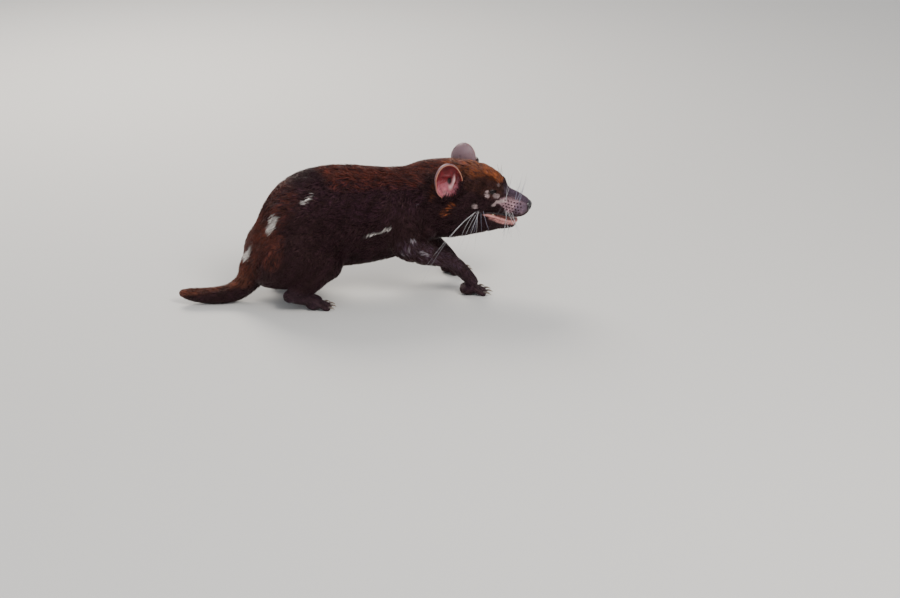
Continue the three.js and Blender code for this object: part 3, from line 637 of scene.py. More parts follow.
# No hair grows inside the mouth or on the lips.
to_head = np.array(HEAD_FRAME.inverted())
head_xyz = (face_middle @ to_head[:3, :3].T + to_head[:3, 3]) * 1000
past_corner = head_xyz[:, 0] - MOUTH_CORNER[0]
off_middle = np.abs(head_xyz[:, 2] - MOUTH_CORNER[1] - GAPE_MIDDLE * past_corner)
in_mouth = (past_corner > -GAPE_BACK) & (off_middle < GAPE_EDGE + GAPE_MIDDLE * past_corner)


def roots_on(faces, draw, most):
    """Even random roots over these faces, thinned to the most that one piece may hold."""
    crowd = face_area[faces] / face_sizes[faces, 3] ** 2
    count = int(min(most, crowd.sum()))
    picked = draw.choice(faces, count, p=crowd / crowd.sum())
    u, v = draw.random((2, count))
    over = u + v > 1
    u[over], v[over] = 1 - u[over], 1 - v[over]
    a, b, c = (hide_points[corners[picked, k]] for k in range(3))
    return picked, a + u[:, None] * (b - a) + v[:, None] * (c - a)


def tufts(faces, draw):
    """Vertices, triangles, and for each tuft the place where it shows and its root's face."""
    face, root = roots_on(faces, draw, TUFTS_MOST)
    count = len(face)
    deep, long, wide, _ = face_sizes[face].T
    long = long * draw.uniform(*TUFT_LONG, count)
    deep = deep * draw.uniform(*TUFT_DEEP, count)
    wide = wide * draw.uniform(*TUFT_BROAD, count)
    stray = draw.normal(0, TUFT_STRAY, count)
    spots, ups, runs = [root], [face_normal[face]], [face_run[face]]
    for _ in range(TUFT_STEPS):
        heading = runs[-1] + stray[:, None] * np.cross(ups[-1], runs[-1])
        reach = spots[-1] + heading * (long / TUFT_STEPS)[:, None]
        landed = [hide_tree.find_nearest(Vector(point)) for point in reach]
        where = np.array([hit[2] for hit in landed])
        spots.append(np.array([hit[0][:] for hit in landed]))
        ups.append(face_normal[where])
        runs.append(face_run[where])
    rings = []
    for k in range(TUFT_STEPS):
        across = np.cross(ups[k], runs[k])
        middle = spots[k] + ups[k] * (TUFT_LIFT[k] * deep)[:, None]
        half = (TUFT_WIDE[k] * wide / 2)[:, None]
        ridge = middle + 2 * TUFT_THICK * half * ups[k]
        rings += [middle - half * across, middle + half * across, ridge]
    rings.append(spots[-1] + ups[-1] * (TUFT_LIFT[-1] * deep)[:, None])
    points = np.stack(rings, axis=1).reshape(-1, 3)
    points[:, 2] = np.maximum(points[:, 2], FLOOR_CLEAR)
    one = [(0, 2, 1)]
    for k in range(TUFT_STEPS - 1):
        for j in range(3):
            a, b = 3 * k + j, 3 * k + (j + 1) % 3
            one += [(a, b, b + 3), (a, b + 3, a + 3)]
    tip = 3 * TUFT_STEPS
    one += [(tip - 3 + j, tip - 3 + (j + 1) % 3, tip) for j in range(3)]
    triangles = (np.array(one)[None] + (tip + 1) * np.arange(count)[:, None, None]).reshape(-1, 3)
    return points, triangles, spots[2], face


def mesh_of(name, points, triangles):
    mesh = bpy.data.meshes.new(name)
    mesh.vertices.add(len(points))
    mesh.vertices.foreach_set("co", points.ravel())
    mesh.loops.add(len(triangles) * 3)
    mesh.loops.foreach_set("vertex_index", triangles.ravel().astype(np.int32))
    mesh.polygons.add(len(triangles))
    mesh.polygons.foreach_set("loop_start", np.arange(len(triangles), dtype=np.int32) * 3)
    mesh.update(calc_edges=True)
    mesh.validate()
    mesh.shade_smooth()
    return mesh


def chart_of(mesh, face):
    """The bake's map: a tuft is a small patch at its root, with the hide unrolled along its line."""
    inner = 1 - 2 * CHART_EDGE
    u = CHART_EDGE + inner * face_share[face]
    v = CHART_EDGE + inner * (face_turn[face] / (2 * pi) + 0.5)
    twist = CHART_TWIST * np.arange(3 * TUFT_STEPS + 1)
    patch = CHART_PATCH / 2 * np.column_stack([np.cos(twist), np.sin(twist)])
    spot = np.column_stack([u, v])[:, None, :] + patch[None]
    vertex = stored(mesh.loops, "vertex_index", 1, np.int32)[:, 0]
    chart = mesh.uv_layers.new(name="OFBake")
    chart.data.foreach_set("uv", spot.reshape(-1, 2)[vertex].ravel())


tuft_finish = hair_finish("long_hair", roughness=0.38, streak=0.3, bump=0.2)
names = list(LIE)
for name, (line, side, (first, last), seed) in COATS.items():
    mine = (face_line == names.index(line)) & (face_share >= first) & (face_share <= last) & ~in_mouth
    if side:
        middle_y = np.where(face_line == names.index("head"), head_xyz[:, 1], face_middle[:, 1])
        mine &= middle_y * side > 0
    draw = np.random.default_rng(seed)
    points, triangles, crest, face = tufts(np.flatnonzero(mine), draw)
    mesh = mesh_of(name, points, triangles)
    clump, clump_wave, clump_seed = CLUMPS
    tone = draw.uniform(*TONES, len(face)) * (1 + clump * ripple(crest, clump_wave, clump_seed))
    tint = markings_at(crest, draw) * np.maximum(tone, DARKEST)[:, None]
    paint(mesh, np.repeat(tint, 3 * TUFT_STEPS + 1, axis=0))
    chart_of(mesh, face)
    coat = piece_of(name, mesh, tuft_finish)
    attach(coat, "root")

# Eyes: wet, nearly black balls set deep in the head, one on each side, with a clear bulging front.
# Each sits in a socket that is turned outwards and a little up.
EYE_AT = (85.5, 31, 19.5)
EYE_RADIUS = 7.6
EYE_TURN = 1.02
EYE_LIFT = -0.16
EYE_BLACK = (0.007, 0.004, 0.004)
# From which share of the radius the front stands out, and how far
EYE_FRONT = 0.7
EYE_BULGE = 0.7


def socket(side):
    """The frame of one eye, in millimetres: x looks out of the head, z up."""
    turned = Matrix.Rotation(side * EYE_TURN, 4, "Z") @ Matrix.Rotation(EYE_LIFT, 4, "Y")
    x, y, z = EYE_AT
    return HEAD_MM @ Matrix.Translation((x, side * y, z)) @ turned


def moved(points, frame_of):
    """Points given in a smaller frame, as places in the whole animal's."""
    matrix = np.array(frame_of)
    return points @ matrix[:3, :3].T + matrix[:3, 3]


eye_finish = plain_finish("eye_gloss", EYE_BLACK, roughness=0.09, specular=0.22)
for label, side in SIDES.items():
    eye_form = bmesh.new()
    bmesh.ops.create_uvsphere(eye_form, u_segments=48, v_segments=32, radius=EYE_RADIUS)
    for vert in eye_form.verts:
        front = max(0, vert.co.x / EYE_RADIUS - EYE_FRONT) / (1 - EYE_FRONT)
        vert.co.x += EYE_BULGE * front ** 2
    bmesh.ops.transform(eye_form, matrix=socket(side), verts=eye_form.verts)
    eye = piece_of(f"eyeball_{label}", mesh_from(eye_form, f"eyeball_{label}"), eye_finish)
    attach(eye, "root")
    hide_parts(f"eye_{label}")

# Lids: soft rims of bare skin round each eye, with fine folds, that run out into the hair of the face.
# The upper one is heavier; the slit between them is almond-shaped and leans with the head.
LID_SLIT = (6.7, 4.3)
LID_STEPS = 72
# For each ring from the slit outwards: its size as a share of the slit, and how high it stands
LID_RINGS = [
    (0.94, 7.2),
    (0.97, 7.9),
    (1.04, 8.5),
    (1.16, 8.75),
    (1.3, 8.5),
    (1.45, 8.6),
    (1.62, 8.3),
    (1.8, 8.2),
]
# The rings that run out into the hide: their size, and how high they lie on it
LID_FADE = ((2.05, 0.0), (2.35, -1.2))
LID_TALLER = 1.3
LID_SUNK = 0.002
# How far ahead of the eye the lines towards the hide start
LID_START = 20.0
# How pointed the corners of the slit are, and how much its front corner dips
LID_POINTED = 0.32
LID_DIP = 0.12
# Fine folds: how high, how many, how far they lean, and from which ring outwards
LID_FOLD = (0.012, 9, 7, 1.1)
LID_SPREAD = 0.25
# The inner rings are darker.
LID_DARK_RINGS = 3
LID_DARK = 0.5


def hide_under(place, way):
    """Where a line from this place in this direction first meets the hide, and the hide's normal."""
    spot, normal = hide_tree.ray_cast(Vector(place), Vector(way))[:2]
    return (np.array(spot), np.array(normal)) if spot else (None, None)


SKIN_SHINE = 0.45
SKIN_DETAIL = 4
SKIN_DENTS = 0.0004


def skin_finish(name, roughness, bump, grain_size=900):
    """Bare skin in the colour stored on the mesh, with a fine leathery grain."""
    material = plain_finish(name, LILAC, roughness, SKIN_SHINE)
    tree = material.node_tree
    grain_on(material, grain_size, SKIN_DETAIL, bump, SKIN_DENTS)
    tree.links.new(marking_on(tree).outputs["Color"], shader_of(material).inputs["Base Color"])
    return material


def sheet(rows, around):
    """Triangles that join rings of equally many points, one ring to the next."""
    a = np.arange(around)
    b = (a + 1) % around
    made = []
    for k in range(rows - 1):
        low, high = k * around, (k + 1) * around
        made.append(np.column_stack([low + a, low + b, high + b]))
        made.append(np.column_stack([low + a, high + b, high + a]))
    return np.concatenate(made)


lid_finish = skin_finish("lid_skin", roughness=0.42, bump=0.5)
fold_high, fold_count, fold_lean, fold_from = LID_FOLD
lid_angle = np.linspace(0, 2 * pi, LID_STEPS, endpoint=False)
for label, side in SIDES.items():
    frame_of = socket(side)
    out = np.array(frame_of.to_3x3() @ Vector((1000, 0, 0)))
    out /= np.linalg.norm(out)
    width, height = LID_SLIT
    y = width * np.cos(lid_angle)
    z = height * np.sin(lid_angle) * (1 - LID_POINTED * np.cos(lid_angle) ** 2)
    z -= LID_DIP * side * y
    rings = []
    for size, stands in LID_RINGS:
        fold = 1 + fold_high * np.sin(fold_count * lid_angle + fold_lean * size) * (size > fold_from)
        ring_y, ring_z = y * size, z * size * (1 + LID_SPREAD * (size - 1))
        depth = np.sqrt(np.maximum((stands * fold) ** 2 - ring_y ** 2 - ring_z ** 2, 1))
        rings.append(moved(np.column_stack([depth, ring_y, ring_z]), frame_of))
    for size, lift in LID_FADE:
        ahead = np.full(LID_STEPS, LID_START)
        outer = moved(np.column_stack([ahead, y * size, z * size * LID_TALLER]), frame_of)
        landed = []
        for place, last in zip(outer, rings[-1]):
            spot = hide_under(place, -out)[0]
            landed.append(last - LID_SUNK * out if spot is None else spot + out * lift / 1000)
        rings.append(np.array(landed))
    points = np.concatenate(rings)
    triangles = sheet(len(rings), LID_STEPS)
    mesh = mesh_of(f"lids_{label}", points, triangles if side > 0 else triangles[:, ::-1])
    tint = markings_at(points) * HIDE_TONE
    tint[: LID_DARK_RINGS * LID_STEPS] *= LID_DARK
    paint(mesh, tint)
    lids = piece_of(f"lids_{label}", mesh, lid_finish)
    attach(lids, "root")

# Nose: a broad pad of black leather, wet and finely pebbled, with a groove down its middle and two
# comma-shaped nostrils that open to the front and sides.
NOSE_AT = (163.4, 0, 0)
NOSE_HALF = (10.9, 13.0, 11.9)
NOSE_FACETS = 6
# The pad is squared off a little, so that it has a flat front and a top edge.
NOSE_SQUARED = 0.86
GROOVE_WIDE = 0.9
GROOVE_DEEP = 1.7
GROOVE_TOP = 0.6
NOSTRIL_AT = (8.8, 6.8, 0.6)
NOSTRIL_HALF = (6.5, 3.6, 3.2)
# How deep a nostril goes, backwards and towards the outer side, and how steep its edge is
NOSTRIL_DEEP = (4.125, 3.41)
NOSTRIL_EDGE = 1.2
# The slit that runs on from a nostril, up and outwards, and is a little shallower
SLIT_AT = (4.5, 11.0, 2.2)
SLIT_HALF = (6, 3.0, 1.5)
SLIT_SHALLOWER = 0.25
# The swollen rim of a nostril: how far it stands out, where, and how wide it is
RIM_OUT = 0.05
RIM_AT = 1.7
RIM_WIDE = 0.4
NOSE_BLACK = (0.016, 0.012, 0.015)


def swelling(at, middle, half):
    """1 at the middle of a soft swelling, falling off to both sides of it."""
    return np.exp(-((at - middle) / half) ** 2)


nose_form = bmesh.new()
bmesh.ops.create_icosphere(nose_form, subdivisions=NOSE_FACETS, radius=1)
nose_mesh = mesh_from(nose_form, "nose_leather")
ball = points_of(nose_mesh)
pad = np.sign(ball) * np.abs(ball) ** NOSE_SQUARED
pad *= NOSE_HALF
groove = swelling(pad[:, 1], 0, GROOVE_WIDE) * np.clip(ball[:, 0], 0, 1)
pad[:, 0] -= GROOVE_DEEP * groove * np.clip(GROOVE_TOP - ball[:, 2], 0, 1)
for side in SIDES.values():
    away = (pad - np.array(NOSTRIL_AT) * (1, side, 1)) / NOSTRIL_HALF
    slit = (pad - np.array(SLIT_AT) * (1, side, 1)) / SLIT_HALF
    from_pit = np.minimum((away ** 2).sum(axis=1), (slit ** 2).sum(axis=1) + SLIT_SHALLOWER)
    pit = np.exp(-from_pit ** 1.5 * NOSTRIL_EDGE)
    inward, sideways = NOSTRIL_DEEP
    pad -= pit[:, None] * np.array((inward, sideways * side, 0))
    rim_away = np.sqrt((away ** 2).sum(axis=1))
    pad *= 1 + RIM_OUT * swelling(rim_away, RIM_AT, RIM_WIDE)[:, None]
nose_at = HEAD_MM @ Matrix.Translation(NOSE_AT)
nose_mesh.vertices.foreach_set("co", moved(pad, nose_at).ravel())
nose_finish = plain_finish("nose_leather", NOSE_BLACK, roughness=0.3, specular=0.55)
nose_tree = nose_finish.node_tree
nose_shader = shader_of(nose_finish)
nose_shader.inputs["Coat Weight"].default_value = 0.35
nose_shader.inputs["Coat Roughness"].default_value = 0.2
pebble_place = nose_tree.nodes.new("ShaderNodeTexCoord")
pebbles = nose_tree.nodes.new("ShaderNodeTexVoronoi")
pebbles.inputs["Scale"].default_value = 1100
pebble_bump = nose_tree.nodes.new("ShaderNodeBump")
pebble_bump.inputs["Strength"].default_value = 0.6
pebble_bump.inputs["Distance"].default_value = 0.0003
pebble_bump.invert = True
nose_tree.links.new(pebble_place.outputs["Object"], pebbles.inputs["Vector"])
nose_tree.links.new(pebbles.outputs["Distance"], pebble_bump.inputs["Height"])
nose_tree.links.new(pebble_bump.outputs["Normal"], nose_shader.inputs["Normal"])
nose = piece_of("nose_leather", nose_mesh, nose_finish)
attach(nose, "root")
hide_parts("nose")

# Lips and gums: wet bare skin along both edges of the gape, dark above and pink below, from one corner
# of the mouth to the other. Each is a soft roll that is laid along the edge of the hide.
LIP_REACH = 88
LIP_STEPS = 60
LIP_AROUND = 12
LIP_ROUNDING = 3
# Each wave along a lip: how much thicker it makes it, and how fast it comes again
LIP_WAVES = ((0.07, 0.9), (0.05, 2.3))
# How thick a lip is at the corner of the mouth, and over how many steps it grows from there
LIP_END = 0.3
LIP_GROWS = 5
# How close to its ends a lip darkens
LIP_DARKENS = 6
# Slope of the edge, distance up from it, distance in from the hide, radius, colour
LIPS = {
    "lip_upper": (GAPE_RISE, 0.8, 0.6, 2.3, (0.020, 0.012, 0.014)),
    "lip_lower": (0.0, -1.2, 0.4, 3.0, (0.60, 0.25, 0.23)),
    "gum_upper": (GAPE_RISE, 0.6, 4.2, 2.4, (0.30, 0.09, 0.07)),
    "gum_lower": (0.0, -0.8, 4.4, 2.6, (0.34, 0.11, 0.09)),
}
# A line towards the muzzle starts well outside it; the first guess at where it meets the hide
MOUTH_OUTSIDE = 120
MOUTH_GUESS = 60.0


def mouth_line(slope, up, inset, angles):
    """Places round the muzzle at an edge of the gape, this far under the hide, in head millimetres."""
    corner_x, corner_z = MOUTH_CORNER
    line = []
    for angle in angles:
        way = np.array((cos(angle), sin(angle), 0))
        reach = MOUTH_GUESS
        for _ in range(3):
            z = corner_z + slope * reach * way[0] + up
            start = np.array((corner_x, 0, z)) + MOUTH_OUTSIDE * way
            spot = hide_under(in_row(*start), HEAD_TURN.to_matrix() @ Vector(-way))[0]
            if spot is not None:
                local = to_head[:3, :3] @ spot + to_head[:3, 3]
                reach = float((local[:2] * 1000 - (corner_x, 0)) @ way[:2])
        line.append((corner_x + (reach - inset) * way[0], (reach - inset) * way[1], z))
    return np.array(line)


def swept(path, radii, around=8, flat=1.0, up=(0, 0, 1)):
    """A closed tube along a path with a radius at each place; flat widens it across the up way."""
    path = np.asarray(path, float)
    radii = np.asarray(radii, float)[:, None]
    run = np.gradient(path, axis=0)
    run /= np.linalg.norm(run, axis=1)[:, None] + 1e-12
    across = np.cross(run, up)
    across /= np.linalg.norm(across, axis=1)[:, None] + 1e-12
    over = np.cross(across, run)
    angle = np.linspace(0, 2 * pi, around, endpoint=False)
    rings = [path + radii * (flat * cos(a) * across + sin(a) * over) for a in angle]
    points = np.stack(rings, axis=1).reshape(-1, 3)
    count = len(points)
    triangles = [sheet(len(path), around)]
    a = np.arange(around)
    b = (a + 1) % around
    triangles.append(np.column_stack([b, a, np.full(around, count)]))
    last = count - around
    triangles.append(np.column_stack([last + a, last + b, np.full(around, count + 1)]))
    points = np.concatenate([points, path[:1], path[-1:]])
    return points, np.concatenate(triangles)


def joined(shapes):
    """Many separate shapes as one set of points and triangles."""
    starts = np.cumsum([0] + [len(points) for points, _ in shapes[:-1]])
    points = np.concatenate([points for points, _ in shapes])
    return points, np.concatenate([triangles + start for start, (_, triangles) in zip(starts, shapes)])


mouth_finish = skin_finish("mouth_skin", roughness=0.36, bump=0.5, grain_size=500)
lip_angles = np.radians(np.linspace(-LIP_REACH, LIP_REACH, LIP_STEPS))
lip_steps = np.arange(LIP_STEPS)
lip_wave = 1 + sum(much * np.sin(lip_steps * often) for much, often in LIP_WAVES)
lip_ends = np.minimum(lip_steps, lip_steps[::-1]) / LIP_GROWS + LIP_END
# Lips darken towards the corners of the mouth.
lip_dark = np.abs(np.linspace(-1, 1, LIP_STEPS)) ** LIP_DARKENS
lip_dark = np.append(np.repeat(lip_dark, LIP_AROUND), (1, 1))[:, None]
for name, (slope, up, inset, radius, tint) in LIPS.items():
    path = mouth_line(slope, up, inset, lip_angles)
    for _ in range(LIP_ROUNDING):
        path[1:-1] = (path[:-2] + 2 * path[1:-1] + path[2:]) / 4
    radii = radius * lip_wave * np.clip(lip_ends, 0, 1)
    points, triangles = swept(path, radii, LIP_AROUND)
    mesh = mesh_of(name, moved(points, HEAD_MM), triangles)
    paint(mesh, (1 - lip_dark) * np.array(tint) + lip_dark * np.array(BLACK_BROWN))
    lip = piece_of(name, mesh, mouth_finish)
    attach(lip, "root")

# Tongue: wet and pink, broad and rounded at the tip, grooved down the middle, lying in the lower jaw.
TONGUE_AT = (112, 0, -40.5)
TONGUE_HALF = (35, 12.5, 5.5)
TONGUE_FACETS = 5
TONGUE_PINK = (0.42, 0.14, 0.11)
# As shares of its half sizes: how deep and wide the groove is, and how far root and tip rise
TONGUE_GROOVE = (0.35, 0.16)
TONGUE_RISE = 0.25
tongue_form = bmesh.new()
bmesh.ops.create_icosphere(tongue_form, subdivisions=TONGUE_FACETS, radius=1)
tongue_mesh = mesh_from(tongue_form, "tongue")
ball = points_of(tongue_mesh)
groove_deep, groove_wide = TONGUE_GROOVE
ball[:, 2] -= groove_deep * swelling(ball[:, 1], 0, groove_wide) * (ball[:, 2] > 0)
ball[:, 2] += TONGUE_RISE * ball[:, 0] ** 2
tongue_points = moved(ball * TONGUE_HALF + TONGUE_AT, HEAD_MM)
tongue_mesh.vertices.foreach_set("co", tongue_points.ravel())
paint(tongue_mesh, np.tile(TONGUE_PINK, (len(ball), 1)))
tongue = piece_of("tongue", tongue_mesh, mouth_finish)
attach(tongue, "root")

# Teeth: short glossy cones of ivory inside the lips, a long canine on each side of both jaws, blunt
# cheek teeth behind it and small incisors between. The upper ones bite in front of the lower ones.
TOOTH_ROW = 20
TOOTH_REACH = 84
TOOTH_INSET = 4.2
TOOTH_KINDS = {"canine": (3.2, 15.5), "cheek": (3.2, 8), "incisor": (1.8, 6.2)}
TOOTH_PLACES = {2: "cheek", 3: "cheek", 4: "cheek", 6: "canine", 8: "incisor", 9: "incisor"}
TOOTH_ROOTED = 3.4
TOOTH_STEPS = 10
TOOTH_AROUND = 12
TOOTH_CURVE = 0.12
TOOTH_TIP = 0.12
TOOTH_BLUNT = 1.6
# How far inside the gape's edge a root starts
TOOTH_UNDER = 0.5
IVORY = (0.70, 0.60, 0.42)
# Slope of each jaw's edge, which way its teeth point and how far behind that edge they stand
JAWS = ((GAPE_RISE, -1, 0), (0.0, 1, 2))
tooth_shapes = []
for slope, down, behind in JAWS:
    for place, kind in TOOTH_PLACES.items():
        radius, length = TOOTH_KINDS[kind]
        for i in (place, TOOTH_ROW - place):
            angle = radians((2 * i / TOOTH_ROW - 1) * TOOTH_REACH)
            x, y, z = mouth_line(slope, -TOOTH_UNDER * down, TOOTH_INSET, [angle])[0]
            share = np.linspace(0, 1, TOOTH_STEPS)
            path = np.column_stack([
                x - behind - TOOTH_CURVE * length * share ** 2,
                np.full(TOOTH_STEPS, y),
                z + down * (length * share - TOOTH_ROOTED),
            ])
            radii = radius * (1 - share ** TOOTH_BLUNT) + TOOTH_TIP
            tooth_shapes.append(swept(path, radii, TOOTH_AROUND, up=(1, 0, 0)))
points, triangles = joined(tooth_shapes)
tooth_finish = plain_finish("ivory", IVORY, roughness=0.22)
teeth = piece_of("teeth", mesh_of("teeth", moved(points, HEAD_MM), triangles), tooth_finish)
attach(teeth, "root")

# Ears: large, thin, nearly bare dishes of skin, mottled deep red inside and grey-lilac behind. Each has a
# pale rolled rim, a curled fold along its front edge and a dark ear hole.
EAR_HALF = (19, 29, 38)
EAR_WALL = 1.6
EAR_RIM_X = 5
EAR_FOOT = {"right": (3, 70, -15), "left": (18, 62, -13)}
EAR_OUT = radians(66)
EAR_LEAN = radians(10)
EAR_BACK = radians(10)
EAR_AROUND = 120
EAR_DEEP = 44
# The share of the depth at which both faces run into the rim, and how far the rim stands out
EAR_EDGE = 0.02
EAR_ROLL = 1.3
EAR_SET_IN = 0.6
# The outline is a little taller than wide, and pointed: how much, at which turn and over what width.
EAR_TALLER = 0.07
EAR_POINT = (0.05, 2.0, 0.5)
# Waves of the edge: how high, how many and where they start; and the ribs on the back
EAR_WAVES = ((0.03, 3, 1), (0.015, 7, 0))
EAR_BACK_RIBS = (0.3, 9)
# Ribs that fan out over the dish: height, number, lean, and their share of the depth and half width there
EAR_FAN = (0.7, 8, 2.2, 0.45, 0.24)
# A ridge inside the rim: height, and its share of the depth and half width there
EAR_RIDGE = (1.5, 0.2, 0.06)
# The thick curled fold of the front edge, its lobe, a shelf across the dish and the ear hole: each one's
# place forward, its slant, its half size forward, its place up, its half size up, and how high it stands
EAR_FOLDS = {
    "curl": (14, 0.12, 3.6, 37, 15, 9),
    "lobe": (7, 0, 4, 24, 8, 5),
    "shelf": (2, 0, 10, 47, 3.2, 3.2),
    "hole": (7.5, 0, 4.4, 37, 8, -1.5),
}
# Mottling: strength, length of its waves and seed
EAR_MOTTLES = ((0.5, 0.008, 41), (0.3, 0.003, 42))
# From which height the pink turns red, over what height, and how ragged that edge is
EAR_REDDENS = (26, 14, 10)
EAR_RED = (0.15, 0.009, 0.014)
EAR_PINK = (0.44, 0.13, 0.165)
EAR_FOLD = (0.72, 0.42, 0.42)
# The ear hole is a shallow dent painted near black as the shade deep in the ear
EAR_HOLE_SHADE = (0.012, 0.004, 0.005)
EAR_RIM = (0.52, 0.24, 0.15)
EAR_BACK_SKIN = (0.24, 0.15, 0.17)
EAR_LIGHT_THROUGH = (0.004, 0.0012, 0.0008)


def ear_frame(label, side):
    x, y, z = EAR_FOOT[label]
    turned = Matrix.Rotation(side * EAR_OUT, 4, "Z") @ Matrix.Rotation(-side * EAR_LEAN, 4, "X")
    return HEAD_MM @ Matrix.Translation((x, side * y, z)) @ turned @ Matrix.Rotation(-EAR_BACK, 4, "Y")


def ear_shape(side):
    """Both faces of the ear from its rim inwards, and for each point its turn, share inwards and face."""
    turn = np.linspace(0, 2 * pi, EAR_AROUND, endpoint=False)
    rim_angle = np.arccos(EAR_RIM_X / EAR_HALF[0])
    pointed, point_at, point_half = EAR_POINT
    rows, facts = [], []
    inner = np.linspace(1, EAR_EDGE, EAR_DEEP)
    outer = np.linspace(EAR_EDGE, 1, EAR_DEEP)
    for face, shares in (("inner", inner), ("rim", np.linspace(0, pi, 7)[1:-1]), ("outer", outer)):
        for share in shares:
            stretch = 1 + EAR_TALLER * np.sin(turn) + pointed * swelling(turn, point_at, point_half)
            shrink = EAR_WALL * (face == "inner")
            angle = rim_angle + (pi - rim_angle) * (share if face != "rim" else EAR_EDGE)
            half = np.array(EAR_HALF) - shrink
            x = half[0] * np.cos(angle) + (0 if face == "outer" else shrink * EAR_SET_IN)
            if face == "rim":
                half = np.array(EAR_HALF) - EAR_WALL * (0.5 + 0.5 * np.cos(share))
                x += EAR_ROLL * np.sin(share)
            y = half[1] * np.sin(angle) * np.cos(turn) * stretch
            z = EAR_HALF[2] + half[2] * np.sin(angle) * np.sin(turn) * stretch
            rows.append(np.column_stack([np.full(EAR_AROUND, x), y, z]))
            depth = np.full(EAR_AROUND, 0 if face == "rim" else share)
            facts.append(np.column_stack([turn, depth, np.full(EAR_AROUND, face == "outer")]))
    return np.concatenate(rows), np.concatenate(facts), len(rows)


for label, side in SIDES.items():
    points, facts, row_count = ear_shape(side)
    turn, depth, back = facts.T
    front = back < 0.5
    ahead = -side * points[:, 1]
    up = points[:, 2]
    height, count, lean, at, half = EAR_FAN
    raised = height * np.sin(count * turn + lean * depth) * swelling(depth, at, half)
    height, at, half = EAR_RIDGE
    raised += height * swelling(depth, at, half) * np.clip(np.sin(turn) + 0.5, 0, 1)
    folds = {}
    for fold, (fore, slant, half_fore, high, half_high, height) in EAR_FOLDS.items():
        middle = fore + slant * (up - EAR_HALF[2])
        folds[fold] = swelling(ahead, middle, half_fore) * swelling(up, high, half_high)
        raised += height * folds[fold]
    ribs, ribs_count = EAR_BACK_RIBS
    points[:, 0] += front * raised + (1 - front) * ribs * np.sin(ribs_count * turn) * depth
    points[:, 1] *= 1 + sum(much * np.sin(count * turn + start) for much, count, start in EAR_WAVES)
    triangles = sheet(row_count, EAR_AROUND)
    mesh = mesh_of(f"ear_skin_{label}", moved(points, ear_frame(label, side)), triangles)
    mottle = sum(much * ripple(points / 1000, wave, seed) for much, wave, seed in EAR_MOTTLES)
    red_from, red_over, ragged = EAR_REDDENS
    red = np.clip((up - red_from + ragged * mottle) / red_over, 0, 1)[:, None]
    tint = np.array(EAR_PINK) * (1 - red) + np.array(EAR_RED) * red
    tint = tint * np.clip(1 + 0.45 * mottle, 0.5, 1.8)[:, None]
    for amount, shade in (
        (np.clip(folds["curl"] * 1.5 + folds["lobe"] - 0.3, 0, 1), EAR_FOLD),
        # Painted shade in the dent of the ear hole
        (np.clip(folds["hole"] * 2.2 - folds["curl"] - 0.4, 0, 1), EAR_HOLE_SHADE),
        (np.clip(1 - depth / 0.05, 0, 1) * (0.75 + 0.25 * np.sin(3 * turn)), EAR_RIM),
        ((1 - front) * np.clip(depth / 0.1, 0, 1), EAR_BACK_SKIN),
    ):
        tint += np.reshape(amount, (-1, 1)) * (np.array(shade) - tint)
    paint(mesh, np.clip(tint, 0.004, 1))
    ear_finish = skin_finish(f"ear_skin_{label}", roughness=0.5, bump=0.6, grain_size=700)
    shader = shader_of(ear_finish)
    shader.inputs["Subsurface Weight"].default_value = 0.25
    shader.inputs["Subsurface Radius"].default_value = EAR_LIGHT_THROUGH
    shader.inputs["Subsurface Scale"].default_value = 1
    ear = piece_of(f"ear_skin_{label}", mesh, ear_finish)
    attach(ear, "root")
    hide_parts(f"ear_{label}")

# Ear hair: sparse short hairs that lie along the rim and the back of the ear, and a dense fringe from the
# side of the head that covers the ear's front edge and foot.
EAR_HAIRS = 1100
FRINGE_HAIRS = 620
FRINGE_NEAR = 0.012
EAR_SEEDS = {"right": 62, "left": 61}
HAIR_STEPS = 5
HAIR_AROUND = 3
RIM_HAIR_LONG = (3, 6)
RIM_HAIR_THICK = 0.2
# How far a rim hair leans along the rim and away from the ear's middle
RIM_HAIR_LEAN = (0.9, 0.22)
RIM_HAIR_TONE = (0.6, 1.2)
FRINGE_LONG = (13, 24)
FRINGE_THICK = 0.6
FRINGE_TONE = (0.7, 1.6)
FRINGE_STRAY = 0.12
FRINGE_FALL = np.array((0.58, 0, 0))
# How far out of the ear's edge a fringe hair starts, and how far behind it
FRINGE_OUT = (1, 8)
FRINGE_BEHIND = (4, 0, 0)
